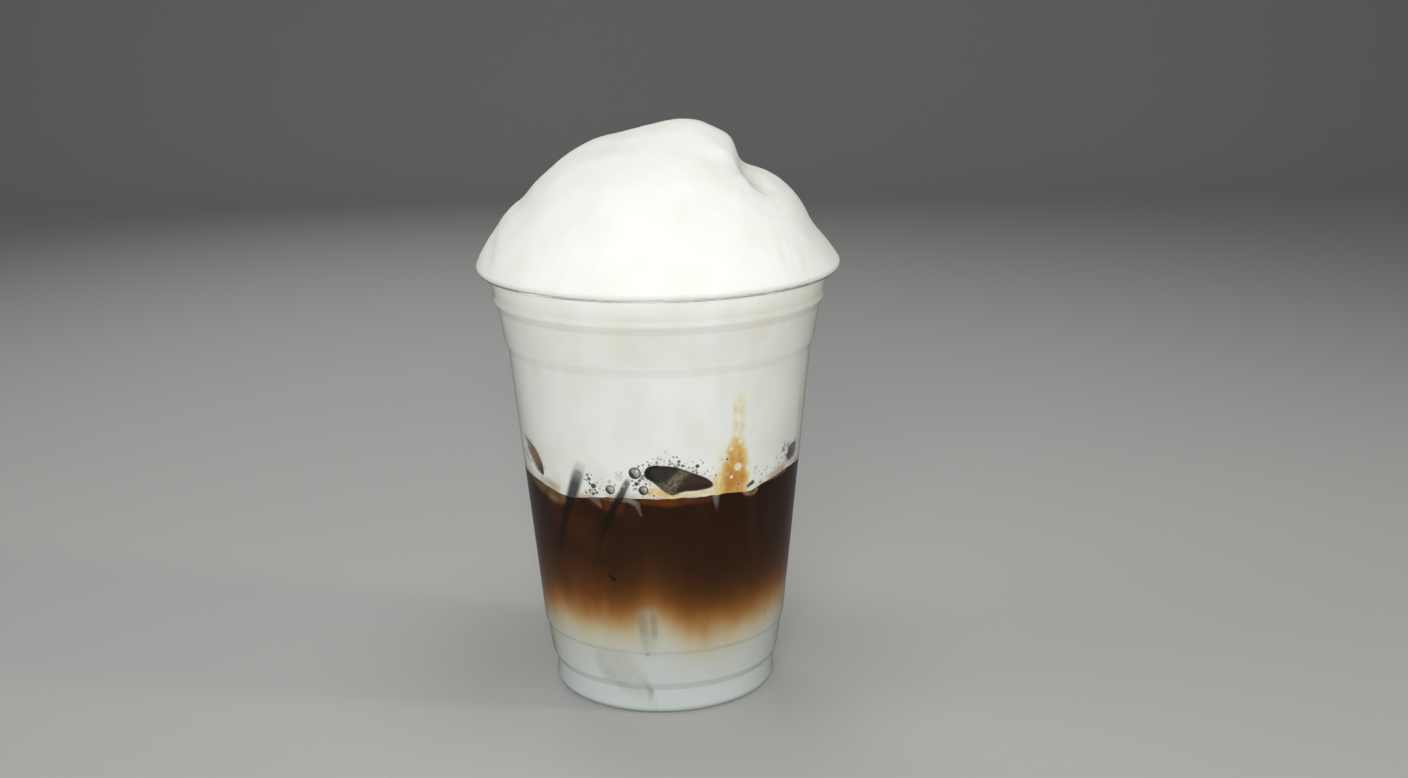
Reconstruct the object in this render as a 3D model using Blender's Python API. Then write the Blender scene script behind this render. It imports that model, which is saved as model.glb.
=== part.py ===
"""Iced cappuccino: milk, espresso and a tall heap of milk foam in a clear plastic cup.

Metres, +Z up. The origin is the middle of the cup's foot, on the surface that it stands on.
-Y is the front, where the foam's fold and the largest air pocket show. Angles go round the
cup from the front, towards +X, in degrees.
"""

import math

import bmesh
import bpy
from mathutils import Matrix, Vector, noise

MM = 0.001

# How finely everything is faceted
SEGMENTS = 44
ARC_TURN = 45.0
LEAST_TURN = 16.0

# The cup is one thin sheet. These sizes lie on the line halfway through it.
WALL = 0.5 * MM
BASE_HEIGHT = 2.6 * MM
BASE_RADIUS = 25.3 * MM
FOOT_INNER_RADIUS = 26.3 * MM
HEEL_RADIUS = 30.45 * MM
WAIST_RADIUS = 30.1 * MM
WAIST_HEIGHT = 6.9 * MM
SHOULDER_RADIUS = 31.35 * MM
SHOULDER_HEIGHT = 9.1 * MM
LOW_RING_HEIGHT = 18.1 * MM
LOW_RING_RADIUS = 32.7 * MM
LOW_RING_STEP = 0.5 * MM
LOW_RING_RISE = 0.9 * MM
CONE_TOP_HEIGHT = 95.6 * MM
CONE_TOP_RADIUS = 40.6 * MM
STACK_RING_HEIGHT = 97.9 * MM
STACK_RING_RADIUS = 41.55 * MM
COLLAR_LOW_HEIGHT = 107.0 * MM
COLLAR_LOW_RADIUS = 43.05 * MM
COLLAR_HEIGHT = 109.2 * MM
COLLAR_RADIUS = 44.3 * MM
NECK_HEIGHT = 115.8 * MM
NECK_RADIUS = 44.85 * MM

# The rim is the same sheet, curled outwards and under
CURL_RADIUS = 46.5 * MM
CURL_HEIGHT = 117.6 * MM
CURL_HALF_WIDTH = 1.6 * MM
CURL_HALF_HEIGHT = 1.4 * MM
CURL_END_ANGLE = -75.0
CURL_STEPS = 7

# The drink: what lies against the cup or another layer keeps this gap
GAP = 0.3 * MM
MILK_LEVEL = 29.3 * MM
COFFEE_LEVEL = 63.0 * MM
LAYER_RINGS = 4

# Where milk rises into the coffee or coffee sinks into the milk: angle, half-width, rise
MILK_PLUMES = (
    (-4.0, 10.0, 3.6 * MM),
    (29.0, 19.0, -3.4 * MM),
    (-72.0, 26.0, -1.6 * MM),
    (96.0, 22.0, 2.4 * MM),
    (148.0, 26.0, -2.8 * MM),
    (-132.0, 20.0, 3.0 * MM),
)
# The same for foam and coffee
FOAM_DIPS = (
    (-41.0, 13.0, -1.8 * MM),
    (37.0, 6.0, -0.9 * MM),
    (64.0, 18.0, 1.8 * MM),
    (128.0, 24.0, -1.4 * MM),
    (-120.0, 30.0, 1.2 * MM),
)

# Air pockets that the foam leaves against the wall: angle, height, half-length round the
# cup, half-height, depth, tilt (down to the right)
POCKETS = {
    "pocket_front": (6.5, 68.3 * MM, 8.9 * MM, 3.5 * MM, 5.0 * MM, 12.0),
    "pocket_left": (-61.5, 68.4 * MM, 3.9 * MM, 3.1 * MM, 3.5 * MM, 30.0),
    "pocket_right": (69.0, 69.0 * MM, 2.8 * MM, 1.8 * MM, 2.5 * MM, -15.0),
    "pocket_back": (162.0, 68.6 * MM, 6.2 * MM, 2.8 * MM, 4.0 * MM, -10.0),
}
POCKET_SEGMENTS = 16
POCKET_RINGS = 8

# The heap of foam: a dome, one large fold on its top, and soft lumps. Its edge rolls over
# the rim and leaves only the underside of the curl bare.
LIP_RADIUS = 47.9 * MM
LIP_HEIGHT = 117.9 * MM
LIP_HALF_WIDTH = 1.1 * MM
LIP_HALF_HEIGHT = 1.3 * MM
LIP_LOWEST_ANGLE = -25.0
LIP_HIGHEST_ANGLE = 60.0
LIP_STEPS = 3
DOME_FOOT_HEIGHT = 117.9 * MM
DOME_RADIUS = 48.8 * MM
DOME_RISE = 33.4 * MM
DOME_ROUNDNESS = 0.785
DOME_EDGE_RADIUS = 48.2 * MM
DOME_RINGS = 24
# The fold: the heap's left part ends in a steep bank, which softens into a slope in front
FOLD_PEAK_X = 12.8 * MM
FOLD_SPREAD_LEFT = 13.2 * MM
FOLD_SPREAD_RIGHT = 14.3 * MM
FOLD_SPREAD_ALONG = 14.5 * MM
FOLD_LIFT = 5.0 * MM
BANK_X = 21.0 * MM
BANK_WIDTH = 0.7 * MM
BANK_END_Y = -12.0 * MM
BANK_END_RUN = 7.0 * MM
BANK_SOFTENING = 6.0 * MM
# Creases from the back towards the front: points (x, y, depth) in millimetres, then the
# widths on the right and the left. The first runs under the bank, two set off lobes at the
# left edge and one at the right edge.
CREASES = (
    (
        ((18.0, 29.0, 0.0), (22.3, 14.0, 1.2), (22.3, 3.0, 1.3), (22.0, -6.0, 1.7),
         (22.2, -12.0, 2.3), (23.2, -15.5, 2.2), (25.2, -17.0, 1.5), (27.8, -16.6, 0.7),
         (30.5, -15.0, 0.0)),
        (4.6, 1.2),
    ),
    (
        ((-33.0, 18.0, 0.0), (-36.1, 4.0, 0.95), (-36.1, -7.0, 0.95), (-34.0, -16.0, 0.4),
         (-31.0, -24.0, 0.0)),
        (2.8, 2.1),
    ),
    (
        ((-41.0, 10.0, 0.0), (-42.8, 1.0, 0.5), (-42.9, -9.0, 0.9), (-43.3, -17.0, 0.9),
         (-44.2, -21.0, 0.5), (-43.5, -25.0, 0.0)),
        (1.0, 3.6),
    ),
    (
        ((40.5, 14.0, 0.0), (41.8, 4.0, 2.2), (41.6, -8.0, 2.1), (39.0, -17.0, 1.2),
         (36.0, -25.0, 0.5), (33.0, -32.0, 0.0)),
        (5.6, 2.6),
    ),
    (
        ((-22.0, -6.0, 0.0), (-10.0, -11.0, 0.45), (2.0, -13.0, 0.5), (12.0, -15.5, 0.25),
         (17.0, -17.0, 0.0)),
        (3.6, 4.6),
    ),
    (
        ((-34.0, 22.0, 0.0), (-27.0, 30.0, 0.9), (-15.0, 37.0, 1.2), (2.0, 40.0, 0.9),
         (14.0, 39.0, 0.0)),
        (4.0, 2.4),
    ),
)
# Soft mounds on the heap: place, spread, rise
MOUNDS = (
    ((-16.9 * MM, 0.0), (9.2 * MM, 17.0 * MM), 1.83 * MM),
    ((34.8 * MM, -3.0 * MM), (3.4 * MM, 13.0 * MM), 0.96 * MM),
    ((26.6 * MM, -2.0 * MM), (5.5 * MM, 13.0 * MM), 0.46 * MM),
    ((-43.6 * MM, -4.0 * MM), (3.1 * MM, 10.0 * MM), 0.36 * MM),
    ((-14.0 * MM, 27.0 * MM), (11.0 * MM, 9.0 * MM), 1.8 * MM),
    ((20.0 * MM, 32.0 * MM), (10.0 * MM, 8.0 * MM), 1.4 * MM),
)
LUMP_SIZE = 17.0 * MM
LUMP_HEIGHT = 1.0 * MM


def clear_scene():
    for obj in list(bpy.data.objects):
        bpy.data.objects.remove(obj, do_unlink=True)


def make_material(name, colour, roughness, alpha=1.0, transmission=0.0):
    material = bpy.data.materials.new(name)
    material.use_nodes = True
    shader = material.node_tree.nodes["Principled BSDF"]
    shader.inputs["Base Color"].default_value = (*colour, 1.0)
    shader.inputs["Roughness"].default_value = roughness
    shader.inputs["Metallic"].default_value = 0.0
    shader.inputs["Alpha"].default_value = alpha
    shader.inputs["Transmission Weight"].default_value = transmission
    return material


def add_object(name, bm, material):
    """A new object from a bmesh, faces outwards, smooth but for its sharp edges."""
    bmesh.ops.remove_doubles(bm, verts=bm.verts, dist=0.001 * MM)
    bmesh.ops.recalc_face_normals(bm, faces=bm.faces)
    mesh = bpy.data.meshes.new(name)
    bm.to_mesh(mesh)
    bm.free()
    mesh.materials.append(material)
    mesh.shade_smooth()
    mesh.set_sharp_from_angle(angle=math.radians(50))
    obj = bpy.data.objects.new(name, mesh)
    bpy.context.scene.collection.objects.link(obj)
    return obj


def rounded(corners):
    """The line through corners (radius, height, fillet radius), its corners made arcs."""
    line = []
    for i, (r, z, fillet) in enumerate(corners):
        here = Vector((r, z))
        if fillet == 0.0 or i in (0, len(corners) - 1):
            line.append(here)
            continue
        back = (Vector(corners[i - 1][:2]) - here).normalized()
        on = (Vector(corners[i + 1][:2]) - here).normalized()
        turn = math.pi - back.angle(on)
        if math.degrees(turn) < LEAST_TURN:
            line.append(here)
            continue
        reach = fillet * math.tan(turn / 2)
        start = here + back * reach
        centre = here + (back + on).normalized() * fillet / math.cos(turn / 2)
        side = -1.0 if (start - centre).cross(back) > 0 else 1.0
        steps = math.ceil(math.degrees(turn) / ARC_TURN)
        for step in range(steps + 1):
            spoke = start - centre
            spoke.rotate(Matrix.Rotation(side * turn * step / steps, 2))
            line.append(centre + spoke)
    return line


def sheet_line():
    """The middle of the cup's sheet, from the middle of the base to the end of the curl."""
    half = WALL / 2
    line = rounded(
        [
            (0.0, BASE_HEIGHT, 0.0),
            (BASE_RADIUS, BASE_HEIGHT, 0.9 * MM),
            (FOOT_INNER_RADIUS, half, 0.8 * MM),
            (HEEL_RADIUS, half, 1.7 * MM),
            (WAIST_RADIUS, WAIST_HEIGHT, 1.2 * MM),
            (SHOULDER_RADIUS, SHOULDER_HEIGHT, 1.2 * MM),
            (LOW_RING_RADIUS, LOW_RING_HEIGHT, 0.6 * MM),
            (LOW_RING_RADIUS + LOW_RING_STEP, LOW_RING_HEIGHT + LOW_RING_RISE, 0.6 * MM),
            (CONE_TOP_RADIUS, CONE_TOP_HEIGHT, 1.5 * MM),
            (STACK_RING_RADIUS, STACK_RING_HEIGHT, 1.5 * MM),
            (COLLAR_LOW_RADIUS, COLLAR_LOW_HEIGHT, 1.2 * MM),
            (COLLAR_RADIUS, COLLAR_HEIGHT, 1.2 * MM),
            (NECK_RADIUS, NECK_HEIGHT, 0.0),
        ]
    )
    for step in range(CURL_STEPS + 1):
        angle = math.radians(180 + (CURL_END_ANGLE - 180) * step / CURL_STEPS)
        r = CURL_RADIUS + CURL_HALF_WIDTH * math.cos(angle)
        z = CURL_HEIGHT + CURL_HALF_HEIGHT * math.sin(angle)
        line.append(Vector((r, z)))
    return line


def offset_line(line, distance):
    """The line moved sideways, to the drink's side where distance is positive."""
    moved = []
    for i, point in enumerate(line):
        before = (point - line[i - 1]).normalized() if i else None
        after = (line[i + 1] - point).normalized() if i + 1 < len(line) else None
        before, after = before or after, after or before
        normal = Vector((-before.y - after.y, before.x + after.x)).normalized()
        stretch = 1.0 / max(0.5, normal.dot(Vector((-before.y, before.x))))
        moved.append(point + normal * distance * stretch)
    moved[0].x = 0.0
    return moved


def make_cup(material):
    line = sheet_line()
    profile = offset_line(line, -WALL / 2) + offset_line(line, WALL / 2)[::-1]
    bm = bmesh.new()
    verts = [bm.verts.new((p.x, 0.0, p.y)) for p in profile]
    edges = [bm.edges.new(pair) for pair in zip(verts, verts[1:])]
    bmesh.ops.spin(
        bm,
        geom=verts + edges,
        cent=(0, 0, 0),
        axis=(0, 0, 1),
        angle=2 * math.pi,
        steps=SEGMENTS,
        use_merge=True,
    )
    return add_object("cup", bm, material)


def radius_at(line, height):
    """The line's radius at a height on the cup's side wall."""
    wall = [p for p in line if p.x > HEEL_RADIUS - 3 * MM and p.x < CURL_RADIUS]
    for low, high in zip(wall, wall[1:]):
        if low.y <= height <= high.y:
            share = (height - low.y) / (high.y - low.y)
            return low.x + share * (high.x - low.x)
    return wall[-1].x


def around(angle, bumps):
    """The sum of soft bumps (angle, half-width, rise) at an angle round the cup."""
    total = 0.0
    for place, width, rise in bumps:
        away = (angle - place + 180) % 360 - 180
        total += rise * math.exp(-((away / width) ** 2))
    return total


def milk_top(angle, share):
    """Height of the face between milk and coffee, share of the way out from the axis."""
    return MILK_LEVEL + around(angle, MILK_PLUMES) * share**2


def coffee_top(angle, share):
    """Height of the face between coffee and foam, share of the way out from the axis."""
    return COFFEE_LEVEL + around(angle, FOAM_DIPS) * share**2


def bump(x, y, place, spread):
    """A soft mound of height 1 over place."""
    across = ((x - place[0]) / spread[0]) ** 2
    along = ((y - place[1]) / spread[1]) ** 2
    return math.exp(-(across + along) / 2)


def crease(x, y, line, widths):
    """Depth at a point of a groove along points (x, y, depth) in millimetres."""
    point = Vector((x, y)) / MM
    deepest = 0.0
    for start, end in zip(line, line[1:]):
        run = Vector(end[:2]) - Vector(start[:2])
        offset = point - Vector(start[:2])
        share = min(1.0, max(0.0, offset.dot(run) / run.length_squared))
        away = offset - run * share
        width = widths[0] if run.cross(away) > 0 else widths[1]
        depth = start[2] + share * (end[2] - start[2])
        deepest = max(deepest, depth * math.exp(-((away.length / width) ** 2)))
    return deepest * MM


def smooth_step(value):
    """0 below 0, 1 above 1, and a soft rise between."""
    share = min(1.0, max(0.0, value))
    return share * share * (3 - 2 * share)


def fold_lift(x, y):
    """How far the fold lifts the heap over a point."""
    width = BANK_WIDTH + BANK_SOFTENING * smooth_step((BANK_END_Y - y) / BANK_END_RUN)
    bank = 1.0 / (1.0 + math.exp(min(60.0, (x - BANK_X) / width)))
    across = FOLD_SPREAD_LEFT if x < FOLD_PEAK_X else FOLD_SPREAD_RIGHT
    return FOLD_LIFT * bank * bump(x, y, (FOLD_PEAK_X, 0.0), (across, FOLD_SPREAD_ALONG))


def foam_height(x, y):
    """Height of the heap of foam over a point."""
    out = min(1.0, (x * x + y * y) / DOME_RADIUS**2)
    z = DOME_FOOT_HEIGHT + DOME_RISE * (1 - out) ** DOME_ROUNDNESS + fold_lift(x, y)
    for place, spread, rise in MOUNDS:
        z += rise * bump(x, y, place, spread)
    for line, widths in CREASES:
        z -= crease(x, y, line, widths)
    lumps = noise.noise(Vector((x, y, 0.0)) / LUMP_SIZE)
    return z + LUMP_HEIGHT * lumps * (1 - out)


def polar_solid(name, rows, material):
    """A closed solid from rows, each a function of angle that gives (radius, height).

    The rows run from the axis underneath, up the side, to the axis on top.
    """
    bm = bmesh.new()
    rings = []
    for row in rows:
        ring = []
        for step in range(SEGMENTS):
            degrees = 360 * step / SEGMENTS
            r, z = row(degrees)
            angle = math.radians(degrees)
            ring.append(bm.verts.new((r * math.sin(angle), -r * math.cos(angle), z)))
        rings.append(ring)
    for low, high in zip(rings, rings[1:]):
        for step in range(SEGMENTS):
            beyond = (step + 1) % SEGMENTS
            bm.faces.new((low[step], low[beyond], high[beyond], high[step]))
    bmesh.ops.remove_doubles(bm, verts=bm.verts, dist=0.001 * MM)
    bmesh.ops.dissolve_degenerate(bm, edges=bm.edges, dist=0.001 * MM)
    return add_object(name, bm, material)


def fixed_row(point):
    """A row that keeps one radius and height all round."""
    return lambda angle: (point.x, point.y)


def layer_rows(lining, top, shift, shares):
    """Rows across the face between two layers, moved by shift away from it."""

    def row(share):
        def place(angle):
            edge = radius_at(lining, top(angle, 1.0) + shift)
            return edge * share, top(angle, share) + shift

        return place

    return [row(share) for share in shares]


def make_milk(lining, material):
    outward = [step / LAYER_RINGS for step in range(LAYER_RINGS + 1)]
    low = [fixed_row(p) for p in lining if p.y < MILK_LEVEL - 6 * MM]
    top = layer_rows(lining, milk_top, -GAP / 2, outward[::-1])
    return polar_solid("milk", low + top, material)


def make_coffee(lining, material):
    outward = [step / LAYER_RINGS for step in range(LAYER_RINGS + 1)]
    middle_height = (MILK_LEVEL + COFFEE_LEVEL) / 2
    middle = Vector((radius_at(lining, middle_height), middle_height))
    rows = layer_rows(lining, milk_top, GAP / 2, outward)
    rows.append(fixed_row(middle))
    rows += layer_rows(lining, coffee_top, -GAP / 2, outward[::-1])
    return polar_solid("coffee", rows, material)


def dome_row(step):
    """One ring of the heap of foam, step of the way from its edge to its top."""
    radius = DOME_EDGE_RADIUS * math.cos(math.pi / 2 * step / DOME_RINGS)

    def place(angle):
        r = 0.0 if step == DOME_RINGS else radius
        x = r * math.sin(math.radians(angle))
        y = -r * math.cos(math.radians(angle))
        return r, foam_height(x, y)

    return place


def over_the_curl(line, height):
    """The line's points over the top of the curl and down to a height on its outside."""
    reached = []
    for here, beyond in zip(line, line[1:]):
        reached.append(here)
        if here.x > CURL_RADIUS and beyond.y < height:
            share = (height - here.y) / (beyond.y - here.y)
            return reached + [here.lerp(beyond, share)]
    return reached


def lip_points():
    """The rolled edge of the foam, from its lower end up to the dome."""
    turn = LIP_HIGHEST_ANGLE - LIP_LOWEST_ANGLE
    for step in range(LIP_STEPS + 1):
        angle = math.radians(LIP_LOWEST_ANGLE + turn * step / LIP_STEPS)
        r = LIP_RADIUS + LIP_HALF_WIDTH * math.cos(angle)
        yield Vector((r, LIP_HEIGHT + LIP_HALF_HEIGHT * math.sin(angle)))


def make_foam(lining, material):
    outward = [step / LAYER_RINGS for step in range(LAYER_RINGS + 1)]
    rows = layer_rows(lining, coffee_top, GAP / 2, outward)
    lip = list(lip_points())
    side = over_the_curl(lining, lip[0].y)
    rows += [fixed_row(p) for p in side if p.y > CONE_TOP_HEIGHT - 2 * MM]
    rows += [fixed_row(p) for p in lip]
    rows += [dome_row(step) for step in range(DOME_RINGS + 1)]
    foam = polar_solid("foam", rows, material)
    for name, pocket in POCKETS.items():
        cut = foam.modifiers.new(name, "BOOLEAN")
        cut.operation = "DIFFERENCE"
        cut.solver = "EXACT"
        cut.object = pocket_cutter(name, lining, pocket)
    return foam


def pocket_cutter(name, lining, pocket):
    """A flattened ball that stands half out of the foam's side."""
    angle, height, half_length, half_height, depth, tilt = pocket
    bm = bmesh.new()
    bmesh.ops.create_uvsphere(
        bm, u_segments=POCKET_SEGMENTS, v_segments=POCKET_RINGS, radius=1.0
    )
    size = Matrix.Diagonal((half_length, depth, half_height, 1.0))
    lean = Matrix.Rotation(math.radians(tilt), 4, "Y")
    out = Matrix.Translation((0.0, -radius_at(lining, height), height))
    turn = Matrix.Rotation(math.radians(angle), 4, "Z")
    bmesh.ops.transform(bm, matrix=turn @ out @ lean @ size, verts=bm.verts)
    mesh = bpy.data.meshes.new(name)
    bm.to_mesh(mesh)
    bm.free()
    cutter = bpy.data.objects.new(name, mesh)
    cutter.hide_render = True
    cutter.display_type = "WIRE"
    bpy.context.scene.collection.objects.link(cutter)
    return cutter


def main():
    clear_scene()
    lining = offset_line(sheet_line(), WALL / 2 + GAP)
    make_cup(make_material("clear_plastic", (0.92, 0.94, 0.94), 0.05, 0.3, 1.0))
    make_milk(lining, make_material("milk", (0.78, 0.75, 0.66), 0.35))
    make_coffee(lining, make_material("coffee", (0.055, 0.022, 0.010), 0.25))
    make_foam(lining, make_material("milk_foam", (0.90, 0.89, 0.86), 0.55))


main()
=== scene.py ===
"""Looks of the iced cappuccino: clear cup, milk, coffee, foam and what shows through the wall.

Metres, +Z up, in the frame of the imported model. -Y is the front. Angles go round the cup from
the front towards +X, in degrees, and a place on the wall is (angle, height in millimetres).
"""

import math
import random

import bpy
import numpy as np
from mathutils import Matrix, Vector, noise


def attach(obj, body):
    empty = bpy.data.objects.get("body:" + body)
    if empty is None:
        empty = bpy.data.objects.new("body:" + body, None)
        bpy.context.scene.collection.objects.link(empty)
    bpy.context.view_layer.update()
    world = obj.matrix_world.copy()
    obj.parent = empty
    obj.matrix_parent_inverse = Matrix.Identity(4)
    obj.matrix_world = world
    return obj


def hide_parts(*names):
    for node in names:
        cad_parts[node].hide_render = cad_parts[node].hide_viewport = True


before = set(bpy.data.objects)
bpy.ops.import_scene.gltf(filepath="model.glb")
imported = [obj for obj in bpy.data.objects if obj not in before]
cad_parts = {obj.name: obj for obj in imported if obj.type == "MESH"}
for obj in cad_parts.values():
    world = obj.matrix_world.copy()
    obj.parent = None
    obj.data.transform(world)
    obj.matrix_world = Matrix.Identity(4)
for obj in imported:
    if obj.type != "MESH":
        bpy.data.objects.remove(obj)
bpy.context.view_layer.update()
MM = 0.001

# The camera, as fitted to the photograph
IMAGE_WIDTH = 1408
FOCAL_PIXELS = 1750.0
SENSOR_WIDTH = 36.0
CAMERA_PLACE = (0.0, -0.463, 0.2035)
CAMERA_YAW = 0.0256
CAMERA_PITCH = 0.2565
CAMERA_ROLL = -0.0120
CAMERA_NEAREST = 0.01

# Lamps: name, place, target, size, power, colour, and whether the cup mirrors them
LIGHT_SPREAD = 100.0
MIDDLE = (0.0, 0.0, 0.09)
FOOT = (0.0, 0.0, 0.05)
WHITE = (1.0, 1.0, 1.0)
WARM = (1.0, 0.96, 0.88)
LIGHTS = (
    ("key", (-0.12, -0.85, 0.28), MIDDLE, 0.40, 1.11, WHITE, False),
    ("low", (0.05, -0.80, 0.07), FOOT, 0.30, 0.12, WHITE, False),
    ("top", (0.05, -0.10, 1.1), MIDDLE, 0.80, 1.35, WHITE, False),
    ("side", (0.75, -0.20, 0.36), MIDDLE, 0.12, 0.37, WARM, True),
    ("left", (-0.80, -0.10, 0.40), MIDDLE, 0.50, 0.36, WARM, False),
    ("spark", (0.02, -0.60, 0.33), MIDDLE, 0.03, 0.12, WHITE, True),
    ("rear", (-0.25, 0.85, 0.55), MIDDLE, 0.60, 0.70, WHITE, False),
)
SKY_COLOUR = (0.96, 0.98, 1.0, 1.0)
SKY_STRENGTH = 0.12
# The floor: its look, half its width, where it starts, and its sweep's depth, height and bend
FLOOR_COLOUR = (0.5, 0.5, 0.49, 1.0)
FLOOR_ROUGHNESS = 0.6
FLOOR_HALF_WIDTH = 1.6
FLOOR_FRONT = -1.4
FLOOR_DEPTH = 1.3
FLOOR_RISE = 1.2
FLOOR_BEND = 0.4
FLOOR_STEPS = 16

# The cup's sheet, on the line halfway through it, as in the solid
WALL = 0.5 * MM
BASE_HEIGHT = 2.6 * MM
BASE_RADIUS = 25.3 * MM
FOOT_INNER_RADIUS = 26.3 * MM
HEEL_RADIUS = 30.45 * MM
WAIST_RADIUS = 30.1 * MM
WAIST_HEIGHT = 6.9 * MM
SHOULDER_RADIUS = 31.35 * MM
SHOULDER_HEIGHT = 9.1 * MM
LOW_RING_HEIGHT = 18.1 * MM
LOW_RING_RADIUS = 32.7 * MM
LOW_RING_STEP = 0.5 * MM
LOW_RING_RISE = 0.9 * MM
CONE_TOP_HEIGHT = 95.6 * MM
CONE_TOP_RADIUS = 40.6 * MM
STACK_RING_HEIGHT = 97.9 * MM
STACK_RING_RADIUS = 41.55 * MM
COLLAR_LOW_HEIGHT = 107.0 * MM
COLLAR_LOW_RADIUS = 43.05 * MM
COLLAR_HEIGHT = 109.2 * MM
COLLAR_RADIUS = 44.3 * MM
BEAD_HEIGHT = 110.5 * MM
BEAD_RADIUS = 44.0 * MM
NECK_HEIGHT = 115.8 * MM
NECK_RADIUS = 44.85 * MM
CURL_RADIUS = 46.5 * MM
CURL_HEIGHT = 117.6 * MM
CURL_HALF_WIDTH = 1.6 * MM
CURL_HALF_HEIGHT = 1.4 * MM
CURL_END_ANGLE = -75.0
CURL_STEPS = 24
ARC_TURN = 9.0
LEAST_TURN = 3.0
CUP_SEGMENTS = 256
# The side of the cup begins outside this radius
SIDE_START = 27.45 * MM

# Edges sharper than this stay sharp, such as those between the layers
SHARP_ANGLE = 65.0

# How far the drink reaches into the wall, so that no air shows between them
BITE = 0.15 * MM
PLASTIC_IOR = 1.31
DRINK_IOR = 1.34
DRINK_ROUGHNESS = 0.3
DRINK_SPECULAR = 0.1

# The layers
MILK_LEVEL = 29.3
COFFEE_LEVEL = 63.0
MILK_PLUMES = (
    (-4, 10, 3.6), (29, 19, -3.4), (-72, 26, -1.6), (96, 22, 2.4), (148, 26, -2.8), (-132, 20, 3),
)
FOAM_DIPS = (
    (-41, 13, -1.8), (37, 6, -0.9), (64, 18, 1.8), (128, 24, -1.4), (-120, 30, 1.2),
)
# Where wet foam reaches higher over the coffee: angle, half-width, rise
WET_FOAM = (
    (-52, 13, 1.3), (58, 12, 1), (120, 14, 0.9), (-140, 16, 0.8),
)
# Where the colour between milk and coffee lies higher or lower than the layers' own border
BLEND_SHIFTS = (
    (-44, 20, 2.4), (36, 22, 1.9), (120, 30, 1.2), (-120, 24, -1),
)
WOBBLE_HEIGHT = 0.22
WOBBLE_TURNS = 11.0

# The heap of foam, as in the solid
LIP_RADIUS = 47.35 * MM
LIP_HEIGHT = 117.95 * MM
LIP_HALF_WIDTH = 1.15 * MM
LIP_HALF_HEIGHT = 1.3 * MM
LIP_LOWEST_ANGLE = -45.0
LIP_HIGHEST_ANGLE = 26.0
LIP_STEPS = 9
LIP_UNEVENNESS = 0.04 * MM
DOME_FOOT_HEIGHT = 117.85 * MM
DOME_RADIUS = 48.5 * MM
DOME_RISE = 33.1 * MM
DOME_ROUNDNESS = 0.785
DOME_EDGE_RADIUS = 48.1 * MM
EDGE_FADE = 1.4 * MM
FOLD_PEAK_X = 12.8 * MM
FOLD_SPREADS = (13.2 * MM, 14.3 * MM, 14.5 * MM)
FOLD_LIFT = 5.0 * MM
BANK_X = 21.0 * MM
BANK_WIDTH = 0.7 * MM
# In front of this the bank softens, so that the fold ends in a slope
BANK_END_Y = -12.0 * MM
BANK_END_RUN = 7.0 * MM
BANK_SOFTENING = 6.0 * MM
# Creases: points (x, y, depth), then the widths on the left and right of the way along them
CREASES = (
    (((18, 29, 0), (22.3, 14, 1.2), (22.3, 3, 1.3), (22, -6, 1.7), (22.2, -12, 2.3), (23.2, -15, 2.1),
      (25.2, -16.2, 1.3), (27.6, -15.6, 0.5), (29.6, -14.4, 0)), (4.6, 1.2)),
    (((-33, 18, 0), (-36.1, 4, 0.95), (-36.1, -7, 0.95), (-34, -16, 0.4), (-31, -24, 0)), (2.8, 2.1)),
    (((-41, 10, 0), (-42.8, 1, 0.5), (-42.9, -9, 0.9), (-43.3, -17, 0.9), (-44.2, -21, 0.5),
      (-43.5, -25, 0)), (1, 3.6)),
    (((40.5, 14, 0), (41.8, 4, 2.2), (41.6, -8, 2.1), (39, -17, 1.2), (36, -25, 0.5),
      (33, -32, 0)), (5.6, 2.6)),
    (((-22, -6, 0), (-10, -11, 0.45), (2, -13, 0.5), (12, -15.5, 0.25), (17, -17, 0)), (3.6, 4.6)),
    (((-34, 22, 0), (-27, 30, 0.9), (-15, 37, 1.2), (2, 40, 0.9), (14, 39, 0)), (4, 2.4)),
)
# How much wider than the first crease its painted shade is on the left
SHADE_WIDENING = 1.2
# Mounds: place, spread along x and y, and rise, in mm
MOUNDS = (
    ((-16.9, 0), (9.2, 17), 1.83), ((34.8, -3), (3.4, 13), 0.96), ((26.6, -2), (5.5, 13), 0.46),
    ((-43.6, -4), (3.1, 10), 0.36), ((-14, 27), (11, 9), 1.8), ((20, 32), (10, 8), 1.4),
)
LUMP_SIZE = 17.0 * MM
LUMP_HEIGHT = 1.0 * MM

# Ripples near the rim, too small for the solid
RIPPLES = (
    (((30.6, -30, 0), (31.7, -32.2, 0.4), (32.4, -34, 0)), (1.5, 1.2)),
    (((33.6, -30.4, 0), (34.4, -31.9, 0.28), (34.8, -32.8, 0)), (1.1, 1)),
    (((36.4, -26.8, 0), (37.2, -28.3, 0.32), (37.6, -29.6, 0)), (1.3, 1.2)),
    (((-24, -38, 0), (-25.6, -39.2, 0.25), (-27, -39, 0)), (1.2, 1.2)),
    (((28, 35.5, 0), (29.6, 36.6, 0.4), (30.6, 37, 0)), (1.2, 1.2)),
    (((-38, 24, 0), (-39.2, 25.4, 0.4), (-40.4, 25, 0)), (1.2, 1.2)),
)

# Points on each stretch of a curve, the distance that stands for far off, next to nothing,
# and as much as an exponent needs to grow
CREASE_STEPS = 8
OUTLINE_STEPS = 6
FAR = 9.0
TINY = 1e-12
MOST_EXPONENT = 60.0
# How far from outlines and strokes places are looked at, in degrees and millimetres
OUTLINE_REACH = (8, 5)
STROKE_REACH = (14, 6)

# Finer relief that only this surface has: noise size and height
RELIEF = ((7.0 * MM, 0.26 * MM), (2.6 * MM, 0.10 * MM), (0.9 * MM, 0.03 * MM))

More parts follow.
